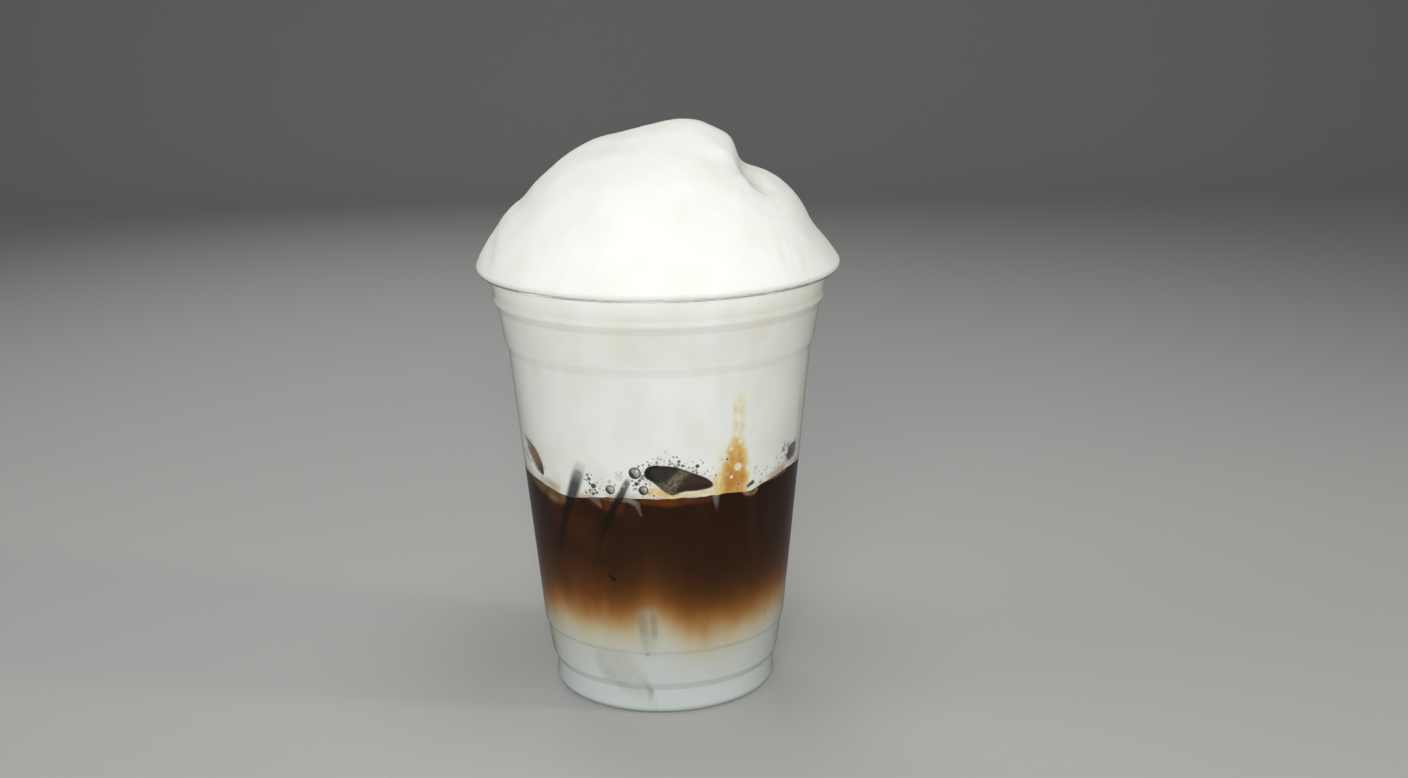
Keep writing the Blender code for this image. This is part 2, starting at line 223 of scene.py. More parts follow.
# The foam's mesh: a fine band where the bubbles are, coarser above it
BAND_TOP = 77.6
BAND_ROWS = 50
BAND_COUNT = 1024
# The first row over the band, then the others, up to this far below the cone's top
FIRST_ROW = 0.6
WALL_ROW = 1.4
CONE_MARGIN = 1.5
WALL_COUNT = 256
DOME_COUNT = 512
DOME_ROW = 0.65 * MM
# Inside this radius a ring of the heap has half the points, and inside half of it a quarter
HALVING_RADIUS = 25.3 * MM
FEWEST_POINTS = 32
# The relief fades over this width at the heap's edge
RELIEF_FADE = 2.0 * MM

# The layers' meshes: points round, rows up the wall, and where the foot's rounded rows end
MILK_COUNT = 512
MILK_ROWS = 40
COFFEE_COUNT = 1024
COFFEE_ROWS = 84
FOOT_MARGIN = 0.5 * MM
# Rings of a face between layers: share of the radius, and one in how many of the points
FAN = ((0.45, 8), (0.75, 4), (0.92, 2))

# Air pockets against the wall, outlines in (angle, height), and how deep each goes
POCKET_DEPTH = 3.6
# The pocket's side runs in over about this width, and a bubble's dent is this share of its radius
POCKET_SIDE = 0.5
BUBBLE_DENT = 0.3
FRONT_POCKET = (
    (-7, 69.8), (-6, 71.4), (-3.2, 72.1), (3.8, 71.7), (8.4, 70.7), (13.1, 69.3), (17.4, 67.9),
    (20.2, 66.2), (19.4, 65.1), (15, 64.7), (8.4, 64.6), (4.6, 63.9), (2.6, 64.1), (-0.2, 65.4),
    (-4, 67.6), (-6.4, 68.5),
)
LEFT_POCKET = (
    (-72, 73.4), (-66, 73), (-60.5, 71.6), (-57.4, 69.4), (-55.6, 66.9), (-56.6, 64.8), (-61.3, 65.3),
    (-66, 67.4), (-71, 70),
)
RIGHT_POCKET = (
    (60.8, 68.7), (62.6, 70.6), (67, 71), (72.5, 70.2), (74, 68), (70.5, 66.6), (64, 66.4),
    (61.4, 67.2),
)
BACK_POCKET = (
    (151, 68.2), (156, 70.6), (163.5, 71.2), (170, 70), (173.5, 67.8), (169, 66), (161, 65.2),
    (154, 66),
)
BACK_POCKET_2 = (
    (-124, 67.4), (-121.5, 69.2), (-116, 69.4), (-112.5, 67.8), (-115, 66.2), (-120.5, 65.9),
)
# The band of froth that crosses the front pocket
FROTH = (
    (-2.2, 66.6), (1.6, 66.2), (5.2, 68), (8, 70), (10.4, 71.2), (15, 70.2), (17.4, 68.6),
    (13.6, 68.8), (9.4, 67.6), (6.4, 65.6), (4.6, 63.8), (1.5, 64),
)

# Bubbles: angle, height, radius, how dark (pale below zero)
BUBBLES = [
    (-10.6, 70, 1.62, 0.75), (-10.1, 67.1, 0.58, 0.95), (-7.4, 65.3, 1.3, 0.8),
    (-3.4, 63.9, 0.36, 0.8), (-20.9, 65, 1.3, 0.7), (-17, 68.5, 1.1, 0.14), (-28.2, 65.5, 0.72, 0.95),
    (-15.9, 70, 0.42, 0.3), (-18, 69.9, 0.36, 0.25), (-21.1, 67.3, 0.48, 0.42),
    (-26.4, 66.6, 0.36, 0.42), (-30.6, 68.3, 0.46, 0.7), (-29.8, 67.3, 0.5, 0.85),
    (-29.7, 66.1, 0.42, 0.8), (-30, 64.1, 0.42, 0.8), (-28.5, 63.3, 0.5, 0.9),
    (-26.7, 63.8, 0.44, 0.85), (-31.7, 63.4, 0.42, 0.75), (-25.4, 65, 0.34, 0.5),
    (-9, 71.9, 0.36, 0.7), (-7.3, 72.4, 0.3, 0.6), (-11.8, 67.9, 0.34, 0.75), (-8.8, 68, 0.45, 0.9),
    (6.4, 73.1, 0.48, 0.85), (7.8, 71.9, 0.4, 0.9), (13.6, 71.5, 0.55, 0.95), (15.8, 72.3, 0.36, 0.45),
    (-5.6, 73.2, 0.3, 0.6), (-0.5, 73.9, 0.34, 0.55), (1.3, 75.9, 0.5, 0.18), (3, 73.1, 0.3, 0.7),
    (11.7, 71.1, 0.32, 0.75), (17.7, 69.9, 0.32, 0.6), (21.2, 68.4, 0.36, 0.7),
    (25.9, 72.4, 0.4, 0.85), (23.7, 72.4, 0.4, 0.3), (31.6, 64.9, 0.42, 0.85), (39.8, 68.3, 0.6, 0.3),
    (30.2, 89.3, 0.4, 0.85), (30.2, 92.9, 0.3, 0.25), (57.6, 71.6, 0.62, 0.45), (56, 70.2, 0.45, 0.35),
    (59, 70, 0.4, 0.4), (30.8, 69.8, 1, -0.34), (28, 67.3, 0.42, -0.3), (27.4, 75, 0.42, -0.2),
    (31.6, 76.8, 0.62, -0.25), (-118, 72, 1.2, 0.6), (-95.5, 67, 1.45, 0.75), (-101, 65.4, 0.8, 0.85),
    (-138, 65.6, 1.5, 0.75), (-144, 67.4, 0.9, 0.85), (-166, 66.2, 1.3, 0.7), (146, 66.6, 1.55, 0.75),
    (141.5, 65, 0.85, 0.9), (127, 65.6, 1.2, 0.7), (108, 65.2, 1.4, 0.75), (98, 66.4, 0.8, 0.8),
    (83, 66, 1, 0.7),
]
# Clusters of small bubbles: angle, height, spread in both, how many, least and most radius
CLUSTERS = (
    (-29.5, 65.5, 1.8, 2, 14, 0.18, 0.34), (-22, 65.2, 6, 1.2, 12, 0.18, 0.4),
    (-100, 66, 8, 1.6, 16, 0.2, 0.6), (-130, 66.5, 9, 2, 20, 0.2, 0.65),
    (-160, 66, 9, 1.8, 20, 0.2, 0.6), (170, 68.5, 7, 2.6, 16, 0.2, 0.45),
    (140, 65.5, 9, 1.8, 20, 0.2, 0.65), (112, 66, 9, 1.6, 16, 0.2, 0.55),
)
BUBBLE_SEED = 41
CLUSTER_SHADES = (0.35, 0.9)
# Least height of a cluster's bubble over the coffee
BUBBLE_CLEARANCE = 0.4
# Larger ones show a painted shade crescent, an outline and a painted glint
LARGE_BUBBLE = 0.75
BUBBLE_REACH = (6, 4)
NO_BUBBLE = 3.0
# Where the finest bubbles gather: angle, height, spread in both, how thickly
FIZZ = (
    (-29, 65.6, 2.4, 3, 1), (-20.5, 65.8, 7, 1.9, 0.55), (-9.5, 67.8, 3.2, 3.4, 0.85),
    (4, 73.6, 12, 2.2, 0.45), (57, 70.4, 5, 3, 0.85), (46, 66.5, 9, 2.2, 0.55), (28, 70, 3, 6, 0.25),
    (-80, 67, 9, 2.2, 0.45), (-104, 66, 13, 2.2, 0.7), (-136, 66.4, 13, 2.6, 0.8),
    (-165, 66.4, 10, 2.4, 0.7), (168, 70.4, 12, 3, 0.75), (138, 66, 12, 2.2, 0.75),
    (108, 66, 11, 2, 0.6),
)

# The finest bubbles just over the coffee everywhere: how thickly, and how soon they fade
LOW_FIZZ = 0.16
LOW_FIZZ_FADE = 5.0
# Those round the pockets: how thickly, how far out, how wide, and from which heights up
POCKET_FIZZ = 0.85
POCKET_FIZZ_PLACE = 0.7
POCKET_FIZZ_WIDTH = 0.6
POCKET_FIZZ_HEIGHTS = (65.5, 68.0)

# Strokes on the wall: points of (angle, height, half-width, strength).
# Edges of ice that show dark through the foam and the coffee, and a dark crumb
ICE_EDGES = (
    ((-32.6, 72.2, 1.5, 0.04), (-33.9, 70, 1.9, 0.34), (-35.2, 67.8, 1.9, 0.68),
     (-37.2, 64.8, 1.8, 0.95), (-39.3, 61.7, 1.7, 0.95), (-44.1, 55.4, 1.4, 0.85),
     (-48.8, 47.5, 1.1, 0.6), (-52.3, 41.2, 0.8, 0.1)),
    ((-12.6, 69, 0.7, 0.15), (-13.9, 67.2, 0.9, 0.75), (-16.8, 63.4, 1.05, 0.95),
     (-20.8, 58.8, 0.95, 0.85), (-25, 53.4, 0.85, 0.7), (-29.4, 45.6, 0.7, 0.35),
     (-30.4, 43, 0.6, 0.05)),
    ((-23.9, 40.5, 0.5, 0.75), (-21.6, 39.7, 0.6, 1)),
    ((36.2, 63.8, 0.45, 0.9), (38.6, 64.5, 0.6, 1)),
    ((118, 70, 0.9, 0.3), (121.5, 65.5, 1.2, 0.95), (127, 58, 0.9, 0.8), (134, 47, 0.5, 0.2)),
    ((-146, 68.5, 0.8, 0.4), (-149.5, 63.5, 1, 1), (-154, 56.5, 0.7, 0.75), (-158.5, 49, 0.4, 0.1)),
    ((-101, 62, 0.8, 0.5), (-97, 54, 0.8, 0.8), (-94.5, 47, 0.4, 0.1)),
)
# Grey wisps of foam in the coffee's top
VEILS = (
    ((-30.5, 63.2, 1, 0.8), (-27.2, 61.8, 1.1, 0.75), (-25.6, 60, 0.4, 0.5)),
    ((-28, 63, 0.8, 0.7), (-22, 62.6, 0.7, 0.45), (-19.6, 62.5, 0.8, 0.5), (-18.6, 60.6, 0.4, 0.2)),
    ((-17.4, 62.7, 0.8, 0.9), (-13.4, 62.6, 0.8, 0.8), (-10.2, 61.4, 0.7, 0.8),
     (-8.6, 58.2, 0.3, 0.35)),
    ((21.4, 63.4, 1, 0.75), (21.6, 61.6, 0.8, 0.55), (22.2, 58.4, 0.4, 0.15)),
    ((104, 62.6, 0.9, 0.6), (106, 60.2, 0.6, 0.3)),
    ((-170, 63, 1, 0.7), (-166, 61, 0.8, 0.5), (-163.5, 58.6, 0.3, 0.2)),
    ((-96, 63.6, 0.9, 0.6), (-93, 61.2, 0.6, 0.3)),
    ((150, 62.4, 0.9, 0.6), (154, 60, 0.8, 0.4), (156, 58, 0.4, 0.1)),
)
# Tan wisps in the coffee's top, where foam has half sunk into it
TAN_WISPS = (
    ((-68, 63.4, 1.8, 0.35), (-58, 61.8, 2.1, 0.45), (-50, 60.6, 2.3, 0.55), (-42, 60.4, 2, 0.45),
     (-37, 61.2, 1.4, 0.2)),
    ((33.6, 62.6, 0.4, 0.6), (36, 61.6, 0.5, 1), (39.2, 61.3, 0.5, 1), (41.2, 62.2, 0.4, 0.8)),
    ((44, 64.2, 0.8, 0.5), (52, 64.4, 0.9, 0.6), (60, 64.6, 0.8, 0.5)),
    ((84, 62.9, 0.8, 0.5), (94, 62, 1.1, 0.7), (104, 61.8, 0.8, 0.4)),
    ((-130, 62.8, 0.8, 0.5), (-118, 62.6, 1.2, 0.7), (-106, 62.2, 0.9, 0.5)),
    ((176, 61.8, 0.8, 0.7), (166, 61.6, 1, 0.7), (158, 61.8, 0.6, 0.3)),
)
# Where the coffee glows red-brown, thin against the wall
GLOWS = (
    ((-33, 62, 0.9, 0.2), (-25, 61.4, 1.7, 0.75), (-18, 60.2, 1.8, 0.55)),
    ((-8, 62.4, 0.9, 0.8), (2, 62.2, 1.4, 1), (10, 62.6, 1.3, 0.9), (19, 62.4, 0.9, 0.5)),
    ((-48, 57.5, 3.5, 0.22), (-40, 55, 4.5, 0.25), (-31, 50, 4.5, 0.18)),
    ((-46, 42, 4, 0.15), (-36, 39, 4.5, 0.25), (-27, 37.5, 4, 0.2)),
    ((112, 61.6, 0.9, 0.5), (128, 61.4, 1.4, 0.9), (144, 61.6, 0.9, 0.5)),
    ((-158, 62, 0.9, 0.5), (-148, 61.8, 1.4, 0.8), (-138, 62, 0.9, 0.4)),
)
# Crema that has risen into the foam
CREMA = (
    ((30.2, 93, 2, 0.05), (30.3, 88, 2.3, 0.22), (30.5, 84, 2.3, 0.28), (30.5, 81, 2.1, 0.34),
     (30.3, 78.8, 1.9, 0.24), (30.1, 77.2, 2.1, 0.32), (30, 75.6, 2.6, 0.5), (29.7, 73.6, 3.1, 0.72),
     (29.5, 70, 3.6, 0.95), (29.4, 66.5, 4, 1.1), (29.4, 63, 4.2, 1)),
    ((27, 78, 2, 0.08), (25.8, 73, 3, 0.22), (24.8, 69, 3.2, 0.32), (24.4, 64, 3.2, 0.42)),
    ((69, 91, 0.8, 0.1), (70.5, 82, 1.3, 0.3), (71, 73, 1, 0.18)),
    ((-87, 80, 1.6, 0.04), (-88.5, 71, 2.2, 0.28), (-88, 63, 2.8, 0.55)),
    ((174, 90, 1.8, 0.04), (176.5, 78, 2.4, 0.26), (175.5, 70, 2.8, 0.45), (177, 62, 3.4, 0.7)),
    ((102, 76, 1.4, 0.04), (101, 68, 1.8, 0.3), (101.5, 62, 2.4, 0.55)),
    ((-8, 63.6, 0.8, 0.2), (-4.2, 65, 1.3, 0.42), (-1.6, 65.2, 1.1, 0.5), (2.2, 63.4, 0.7, 0.55),
     (9, 63.9, 0.5, 0.42), (19, 64.2, 0.7, 0.35)),
    ((150, 64.2, 0.6, 0.6), (160, 64.2, 0.8, 0.7), (172, 64.6, 0.7, 0.4)),
)
# Ice against the wall in the milk: its edges, and its faces as outlines (angle, height)
ICE_LINES = (
    ((-35.2, 18.4, 0.9, 0.08), (-33.6, 13.6, 1.7, 0.3), (-29, 10.2, 1.9, 0.36), (-22.5, 7.6, 1.4, 0.3),
     (-14.3, 6.8, 0.7, 0.15)),
    ((-12.4, 12.6, 1.6, 0.15), (-9.6, 9.2, 1.2, 0.35), (-7.3, 6, 0.65, 0.8), (-5.7, 3.6, 0.5, 0.9),
     (-5.2, 2.2, 0.4, 0.4)),
    ((-11, 31.5, 1, 0.15), (-9.9, 28.4, 1.35, 0.62), (-9.3, 24.9, 1.4, 0.6), (-9, 21.5, 1.1, 0.35),
     (-8.6, 19, 0.5, 0.15)),
    ((-5, 32.8, 0.8, 0.2), (-4.9, 28.5, 1, 0.7), (-4.8, 24.9, 1, 0.62), (-5.6, 21.5, 0.9, 0.3),
     (-6.6, 19.5, 0.5, 0.1)),
    ((-8.9, 18.1, 0.4, 0.8), (-7.9, 18.1, 0.4, 0.8)),
    ((52, 30.6, 0.4, 0.2), (53, 25.7, 0.5, 0.55), (54.1, 21.4, 0.4, 0.2)),
    ((96, 22, 0.7, 0.3), (103, 15, 0.9, 0.6), (106, 7, 0.5, 0.3)),
    ((-140, 24, 0.7, 0.5), (-133, 16, 0.9, 0.6), (-121, 9, 0.5, 0.3)),
    ((160, 27, 0.7, 0.5), (164, 20, 0.9, 0.7), (168, 9, 0.5, 0.3)),
    ((-82, 20, 0.6, 0.3), (-76, 12, 0.8, 0.6), (-70, 7, 0.5, 0.3)),
)
ICE_FACES = (
    ((-13, 30), (-9, 31.5), (-3, 31), (-2, 25), (-5, 18.5), (-10.5, 18.5), (-12.4, 24)),
    ((-34.4, 18), (-20, 19.5), (-14, 15.2), (-9.4, 9.4), (-5.6, 3.4), (-12, 3.4), (-22.4, 6.8),
     (-31.4, 11.4)),
    ((96, 22), (110, 22), (114, 11), (103, 8)),
    ((-140, 24), (-124, 21), (-121, 9), (-136, 11)),
    ((158, 26), (172, 20), (168, 8), (159, 13)),
    ((-82, 20), (-70, 22), (-67, 10), (-77, 9)),
)


def srgb(red, green, blue):
    """A colour as linear light from its 0 to 255 values."""
    shares = (value / 255 for value in (red, green, blue))
    light = (s / 12.92 if s <= 0.04045 else ((s + 0.055) / 1.055) ** 2.4 for s in shares)
    return (*light, 1.0)


# Profile and levels

def rounded(corners):
    """The line through corners (radius, height, fillet radius), its corners made arcs."""
    line = []
    for i, (r, z, fillet) in enumerate(corners):
        here = Vector((r, z))
        if fillet == 0.0 or i in (0, len(corners) - 1):
            line.append(here)
            continue
        back = (Vector(corners[i - 1][:2]) - here).normalized()
        on = (Vector(corners[i + 1][:2]) - here).normalized()
        turn = math.pi - back.angle(on)
        if math.degrees(turn) < LEAST_TURN:
            line.append(here)
            continue
        reach = fillet * math.tan(turn / 2)
        start = here + back * reach
        centre = here + (back + on).normalized() * fillet / math.cos(turn / 2)
        side = -1.0 if (start - centre).cross(back) > 0 else 1.0
        steps = math.ceil(math.degrees(turn) / ARC_TURN)
        for step in range(steps + 1):
            spoke = start - centre
            spoke.rotate(Matrix.Rotation(side * turn * step / steps, 2))
            line.append(centre + spoke)
    return line


def sheet_line():
    """The middle of the cup's sheet, from the middle of the base to the end of the curl."""
    half = WALL / 2
    line = rounded(
        [
            (0.0, BASE_HEIGHT, 0.0),
            (BASE_RADIUS, BASE_HEIGHT, 0.9 * MM),
            (FOOT_INNER_RADIUS, half, 0.8 * MM),
            (HEEL_RADIUS, half, 1.7 * MM),
            (WAIST_RADIUS, WAIST_HEIGHT, 1.2 * MM),
            (SHOULDER_RADIUS, SHOULDER_HEIGHT, 1.2 * MM),
            (LOW_RING_RADIUS, LOW_RING_HEIGHT, 0.6 * MM),
            (LOW_RING_RADIUS + LOW_RING_STEP, LOW_RING_HEIGHT + LOW_RING_RISE, 0.6 * MM),
            (CONE_TOP_RADIUS, CONE_TOP_HEIGHT, 1.5 * MM),
            (STACK_RING_RADIUS, STACK_RING_HEIGHT, 1.5 * MM),
            (COLLAR_LOW_RADIUS, COLLAR_LOW_HEIGHT, 1.2 * MM),
            (COLLAR_RADIUS, COLLAR_HEIGHT, 1.0 * MM),
            (BEAD_RADIUS, BEAD_HEIGHT, 1.2 * MM),
            (NECK_RADIUS, NECK_HEIGHT, 0.0),
        ]
    )
    for step in range(CURL_STEPS + 1):
        angle = math.radians(180 + (CURL_END_ANGLE - 180) * step / CURL_STEPS)
        r = CURL_RADIUS + CURL_HALF_WIDTH * math.cos(angle)
        z = CURL_HEIGHT + CURL_HALF_HEIGHT * math.sin(angle)
        line.append(Vector((r, z)))
    return line


def offset_line(line, distance):
    """The line moved sideways, to the drink's side where distance is positive."""
    moved = []
    for i, point in enumerate(line):
        before = (point - line[i - 1]).normalized() if i else None
        after = (line[i + 1] - point).normalized() if i + 1 < len(line) else None
        before, after = before or after, after or before
        normal = Vector((-before.y - after.y, before.x + after.x)).normalized()
        stretch = 1.0 / max(0.5, normal.dot(Vector((-before.y, before.x))))
        moved.append(point + normal * distance * stretch)
    moved[0].x = 0.0
    return moved


SHEET = sheet_line()
SKIN = offset_line(SHEET, WALL / 2 - BITE)
SKIN_SIDE = [p for p in SKIN if SIDE_START < p.x < CURL_RADIUS and p.y < NECK_HEIGHT]
SKIN_HEIGHTS = np.array([p.y for p in SKIN_SIDE])
SKIN_RADII = np.array([p.x for p in SKIN_SIDE])


def skin_radius(height):
    """Radius of the drink's outer surface at heights on the side wall, in metres."""
    return np.interp(height, SKIN_HEIGHTS, SKIN_RADII)


def around(angle, bumps):
    """The sum of soft bumps (angle, half-width, rise) at angles round the cup."""
    total = np.zeros_like(angle, dtype=float)
    for place, width, rise in bumps:
        away = (angle - place + 180) % 360 - 180
        total += rise * np.exp(-((away / width) ** 2))
    return total


def wobble(angle, seed):
    """Small uneven waves round the cup, the same after a whole turn."""
    out = []
    for value in np.atleast_1d(angle):
        turn = math.radians(value)
        place = Vector((math.cos(turn), math.sin(turn), seed)) * WOBBLE_TURNS
        out.append(noise.noise(place) + 0.5 * noise.noise(place * 2.3))
    return np.array(out)


def milk_top(angle, share=1.0):
    """Height in millimetres of the face between milk and coffee."""
    return MILK_LEVEL + around(angle, MILK_PLUMES) * share**2


def blend_level(angle):
    """Height at which milk and coffee look mixed half and half."""
    return milk_top(angle) + around(angle, BLEND_SHIFTS)


def coffee_top(angle, share=1.0):
    """Height in millimetres of the face between coffee and foam."""
    return COFFEE_LEVEL + (around(angle, FOAM_DIPS) + WOBBLE_HEIGHT * wobble(angle, 3.0)) * share**2


# Fields on the wall

def unrolled(angle, height):
    """Places on the wall as flat millimetres, along the circumference and up."""
    girth = math.pi / 180 * np.interp(height, SKIN_HEIGHTS / MM, SKIN_RADII / MM)
    return angle * girth, height


def spline(corners, steps):
    """A curve through all corners but the first and last, which only steer it."""
    out = []
    for a, b, c, d in zip(corners, corners[1:], corners[2:], corners[3:]):
        for t in np.arange(steps) / steps:
            swing = (c - a) * t + (2 * a - 5 * b + 4 * c - d) * t**2
            out.append(b + 0.5 * (swing + (3 * b - a - 3 * c + d) * t**3))
    return out


def closed_curve(points):
    corners = np.array(points, dtype=float)
    return np.array(spline([corners[-1], *corners, *corners[:2]], OUTLINE_STEPS))


def open_curve(points):
    corners = np.array(points, dtype=float)
    curve = spline([corners[0], *corners, corners[-1]], CREASE_STEPS)
    return np.array([*curve, corners[-1]])


def from_segment(x, y, start, end):
    """For places: the share of the way along a segment, and their offsets from it."""
    run = end - start
    share = ((x - start[0]) * run[0] + (y - start[1]) * run[1]) / max(run @ run, TINY)
    share = np.clip(share, 0, 1)
    return share, x - start[0] - share * run[0], y - start[1] - share * run[1]


def near_places(angle, height, line, wide, tall):
    """Which places lie within wide degrees and tall millimetres of the box round a line."""
    across = (angle > line[:, 0].min() - wide) & (angle < line[:, 0].max() + wide)
    return across & (height > line[:, 1].min() - tall) & (height < line[:, 1].max() + tall)


def outline_distance(angle, height, points):
    """Distance in millimetres to a closed outline on the wall, negative inside."""
    far = np.full(angle.shape, FAR)
    curve = closed_curve(points)
    near = near_places(angle, height, curve, *OUTLINE_REACH)
    if not near.any():
        return far
    px, py = unrolled(angle[near], height[near])
    corners = np.stack(unrolled(curve[:, 0], curve[:, 1]), axis=1)
    best = np.full(px.shape, FAR**2)
    inside = np.zeros(px.shape, dtype=bool)
    for start, end in zip(corners, np.roll(corners, -1, axis=0)):
        _, dx, dy = from_segment(px, py, start, end)
        best = np.minimum(best, np.hypot(dx, dy))
        rise = end[1] - start[1] or TINY
        crosses = (start[1] > py) != (end[1] > py)
        inside ^= crosses & (px < start[0] + (py - start[1]) / rise * (end[0] - start[0]))
    far[near] = np.where(inside, -best, best)
    return far


def stroke(angle, height, points):
    """Strength, 0 to 1, of a soft stroke through (angle, height, half-width, strength)."""
    total = np.zeros(angle.shape)
    line = np.array(points, dtype=float)
    near = near_places(angle, height, line, *STROKE_REACH)
    if not near.any():
        return total
    px, py = unrolled(angle[near], height[near])
    line[:, :2] = np.stack(unrolled(line[:, 0], line[:, 1]), axis=1)
    best = np.zeros(px.shape)
    for start, end in zip(line, line[1:]):
        share, dx, dy = from_segment(px, py, start[:2], end[:2])
        width, strength = (start[k] + share * (end[k] - start[k]) for k in (2, 3))
        # Whole up to 0.44 of the half-width, and gone at 1.56 of it
        edge = np.clip(1.4 - np.hypot(dx, dy) / width * 0.9, 0, 1)
        best = np.maximum(best, strength * edge * edge * (3 - 2 * edge))
    total[near] = best
    return total


def strokes(angle, height, lines):
    return np.max([stroke(angle, height, line) for line in lines], axis=0)


def smooth_step(value, low, high):
    share = np.clip((value - low) / (high - low), 0, 1)
    return share * share * (3 - 2 * share)


def fizz_field(angle, height):
    """How thickly the finest bubbles lie, 0 to 1."""
    total = LOW_FIZZ * np.exp(-np.clip(height - COFFEE_LEVEL, 0, None) / LOW_FIZZ_FADE)
    for place, level, wide, tall, amount in FIZZ:
        turn = ((angle - place + 180) % 360 - 180) / wide
        total = total + amount * np.exp(-(turn**2) - ((height - level) / tall) ** 2)
    away = (pocket_distance(angle, height) - POCKET_FIZZ_PLACE) / POCKET_FIZZ_WIDTH
    high = smooth_step(height, *POCKET_FIZZ_HEIGHTS)
    return np.clip(total + POCKET_FIZZ * np.exp(-(away**2)) * high, 0, 1)


def all_bubbles():
    """The bubbles that are listed one by one and those of the clusters."""
    random.seed(BUBBLE_SEED)
    found = list(BUBBLES)
    for angle, height, wide, tall, count, least, most in CLUSTERS:
        for _ in range(count):
            place = random.gauss(angle, wide)
            level = max(random.gauss(height, tall), COFFEE_LEVEL + BUBBLE_CLEARANCE)
            radius = least + (most - least) * random.random() ** 2
            found.append((place, level, radius, random.uniform(*CLUSTER_SHADES)))
    return found


def bubble_fields(angle, height):
    """Distance to the nearest bubble's edge, negative inside, its shade and its radius. The shade
    holds painted shade crescents and, below zero, pale bubbles and painted glints.
    """
    edge = np.full(angle.shape, NO_BUBBLE)
    shade = np.zeros(angle.shape)
    size = np.ones(angle.shape)
    for place, level, radius, dark in all_bubbles():
        turn = (angle - place + 180) % 360 - 180
        near = (np.abs(turn) < BUBBLE_REACH[0]) & (np.abs(height - level) < BUBBLE_REACH[1])
        if not near.any():
            continue
        girth = math.pi / 180 * float(skin_radius(level * MM)) / MM
        across = turn[near] * girth / radius
        up = (height[near] - level) / radius
        away = (np.hypot(across, up) - 1) * radius
        tone = np.full(away.shape, dark)
        if radius > LARGE_BUBBLE and dark > 0.2:
            # Painted shade as a dark crescent at the lower left, a dark outline, and a painted
            # highlight as a glint
            shade_crescent = smooth_step(-0.75 * across - 0.65 * up, 0.05, 0.75)
            outline = smooth_step(-away / radius, 0.35, 0.0)
            painted_glint = np.exp(-((across - 0.35) ** 2 + (up - 0.3) ** 2) / 0.03)
            tone = dark * (0.78 + 0.75 * shade_crescent + 0.80 * outline - 1.4 * painted_glint)
        closer = away < edge[near]
        edge[near] = np.where(closer, away, edge[near])
        shade[near] = np.where(closer, tone, shade[near])
        size[near] = np.where(closer, radius, size[near])
    return edge, shade, size


# Meshes

def ring(angles, radius, height):
    """A ring of points at angles round the cup; radius and height in metres."""
    turn = np.radians(angles)
    radius = np.broadcast_to(radius, turn.shape)
    height = np.broadcast_to(height, turn.shape)
    return np.stack([radius * np.sin(turn), -radius * np.cos(turn), height], axis=1)


def pole(height):
    return np.array([[0.0, 0.0, height]])


def angles_of(count):
    """count angles round the cup, from the back, so that the front is in the middle."""
    return np.arange(count) * 360.0 / count - 180.0


def bridge(low, high, low_count, high_count):
    """Faces between two rings, given by first index and count, equal or one to two."""
    faces = []
    if low_count == high_count:
        for i in range(low_count):
            j = (i + 1) % low_count
            faces.append((low + i, low + j, high + j, high + i))
    elif low_count == 2 * high_count:
        for i in range(high_count):
            j = (i + 1) % high_count
            a, b, c = low + 2 * i, low + 2 * i + 1, low + (2 * i + 2) % low_count
            faces += [(a, b, high + i), (b, high + j, high + i), (b, c, high + j)]
    else:
        for i in range(low_count):
            j = (i + 1) % low_count
            a, b, c = high + 2 * i, high + 2 * i + 1, high + (2 * i + 2) % high_count
            faces += [(low + i, b, a), (low + i, low + j, b), (low + j, c, b)]
    return faces


def closed_body(name, rings):
    """A closed mesh from rings of points; a ring of one point is a pole."""
    starts = np.cumsum([0] + [len(r) for r in rings])
    faces = []
    for k, (low, high) in enumerate(zip(rings, rings[1:])):
        a, b = int(starts[k]), int(starts[k + 1])
        if len(low) == 1:
            n = len(high)
            faces += [(a, b + (i + 1) % n, b + i) for i in range(n)]
        elif len(high) == 1:
            n = len(low)
            faces += [(a + i, a + (i + 1) % n, b) for i in range(n)]
        else:
            faces += bridge(a, b, len(low), len(high))
    mesh = bpy.data.meshes.new(name)
    mesh.from_pydata(np.concatenate(rings).tolist(), [], faces)
    mesh.validate()
    mesh.shade_smooth()
    mesh.set_sharp_from_angle(angle=math.radians(SHARP_ANGLE))
    obj = bpy.data.objects.new(name, mesh)
    bpy.context.scene.collection.objects.link(obj)
    return obj


def set_field(obj, name, values):
    """Stores one number for each point of obj's mesh."""
    field = obj.data.attributes.new(name, "FLOAT", "POINT")
    field.data.foreach_set("value", np.asarray(values, dtype=np.float32))


def places_of(obj):
    """Angle, height in millimetres and radius in metres of each point of obj."""
    flat = np.empty(len(obj.data.vertices) * 3)
    obj.data.vertices.foreach_get("co", flat)
    spots = flat.reshape(-1, 3)
    angle = np.degrees(np.arctan2(spots[:, 0], -spots[:, 1]))
    return angle, spots[:, 2] / MM, np.hypot(spots[:, 0], spots[:, 1])


def face_rings(top, count, outward):
    """Rings over the face between two layers, without its edge."""
    rings = [pole(top(np.zeros(1), 0.0)[0] * MM)]
    for share, part in FAN:
        angles = angles_of(count // part)
        level = top(angles, share) * MM
        rings.append(ring(angles, skin_radius(level) * share, level))
    return rings if outward else rings[::-1]


# Materials

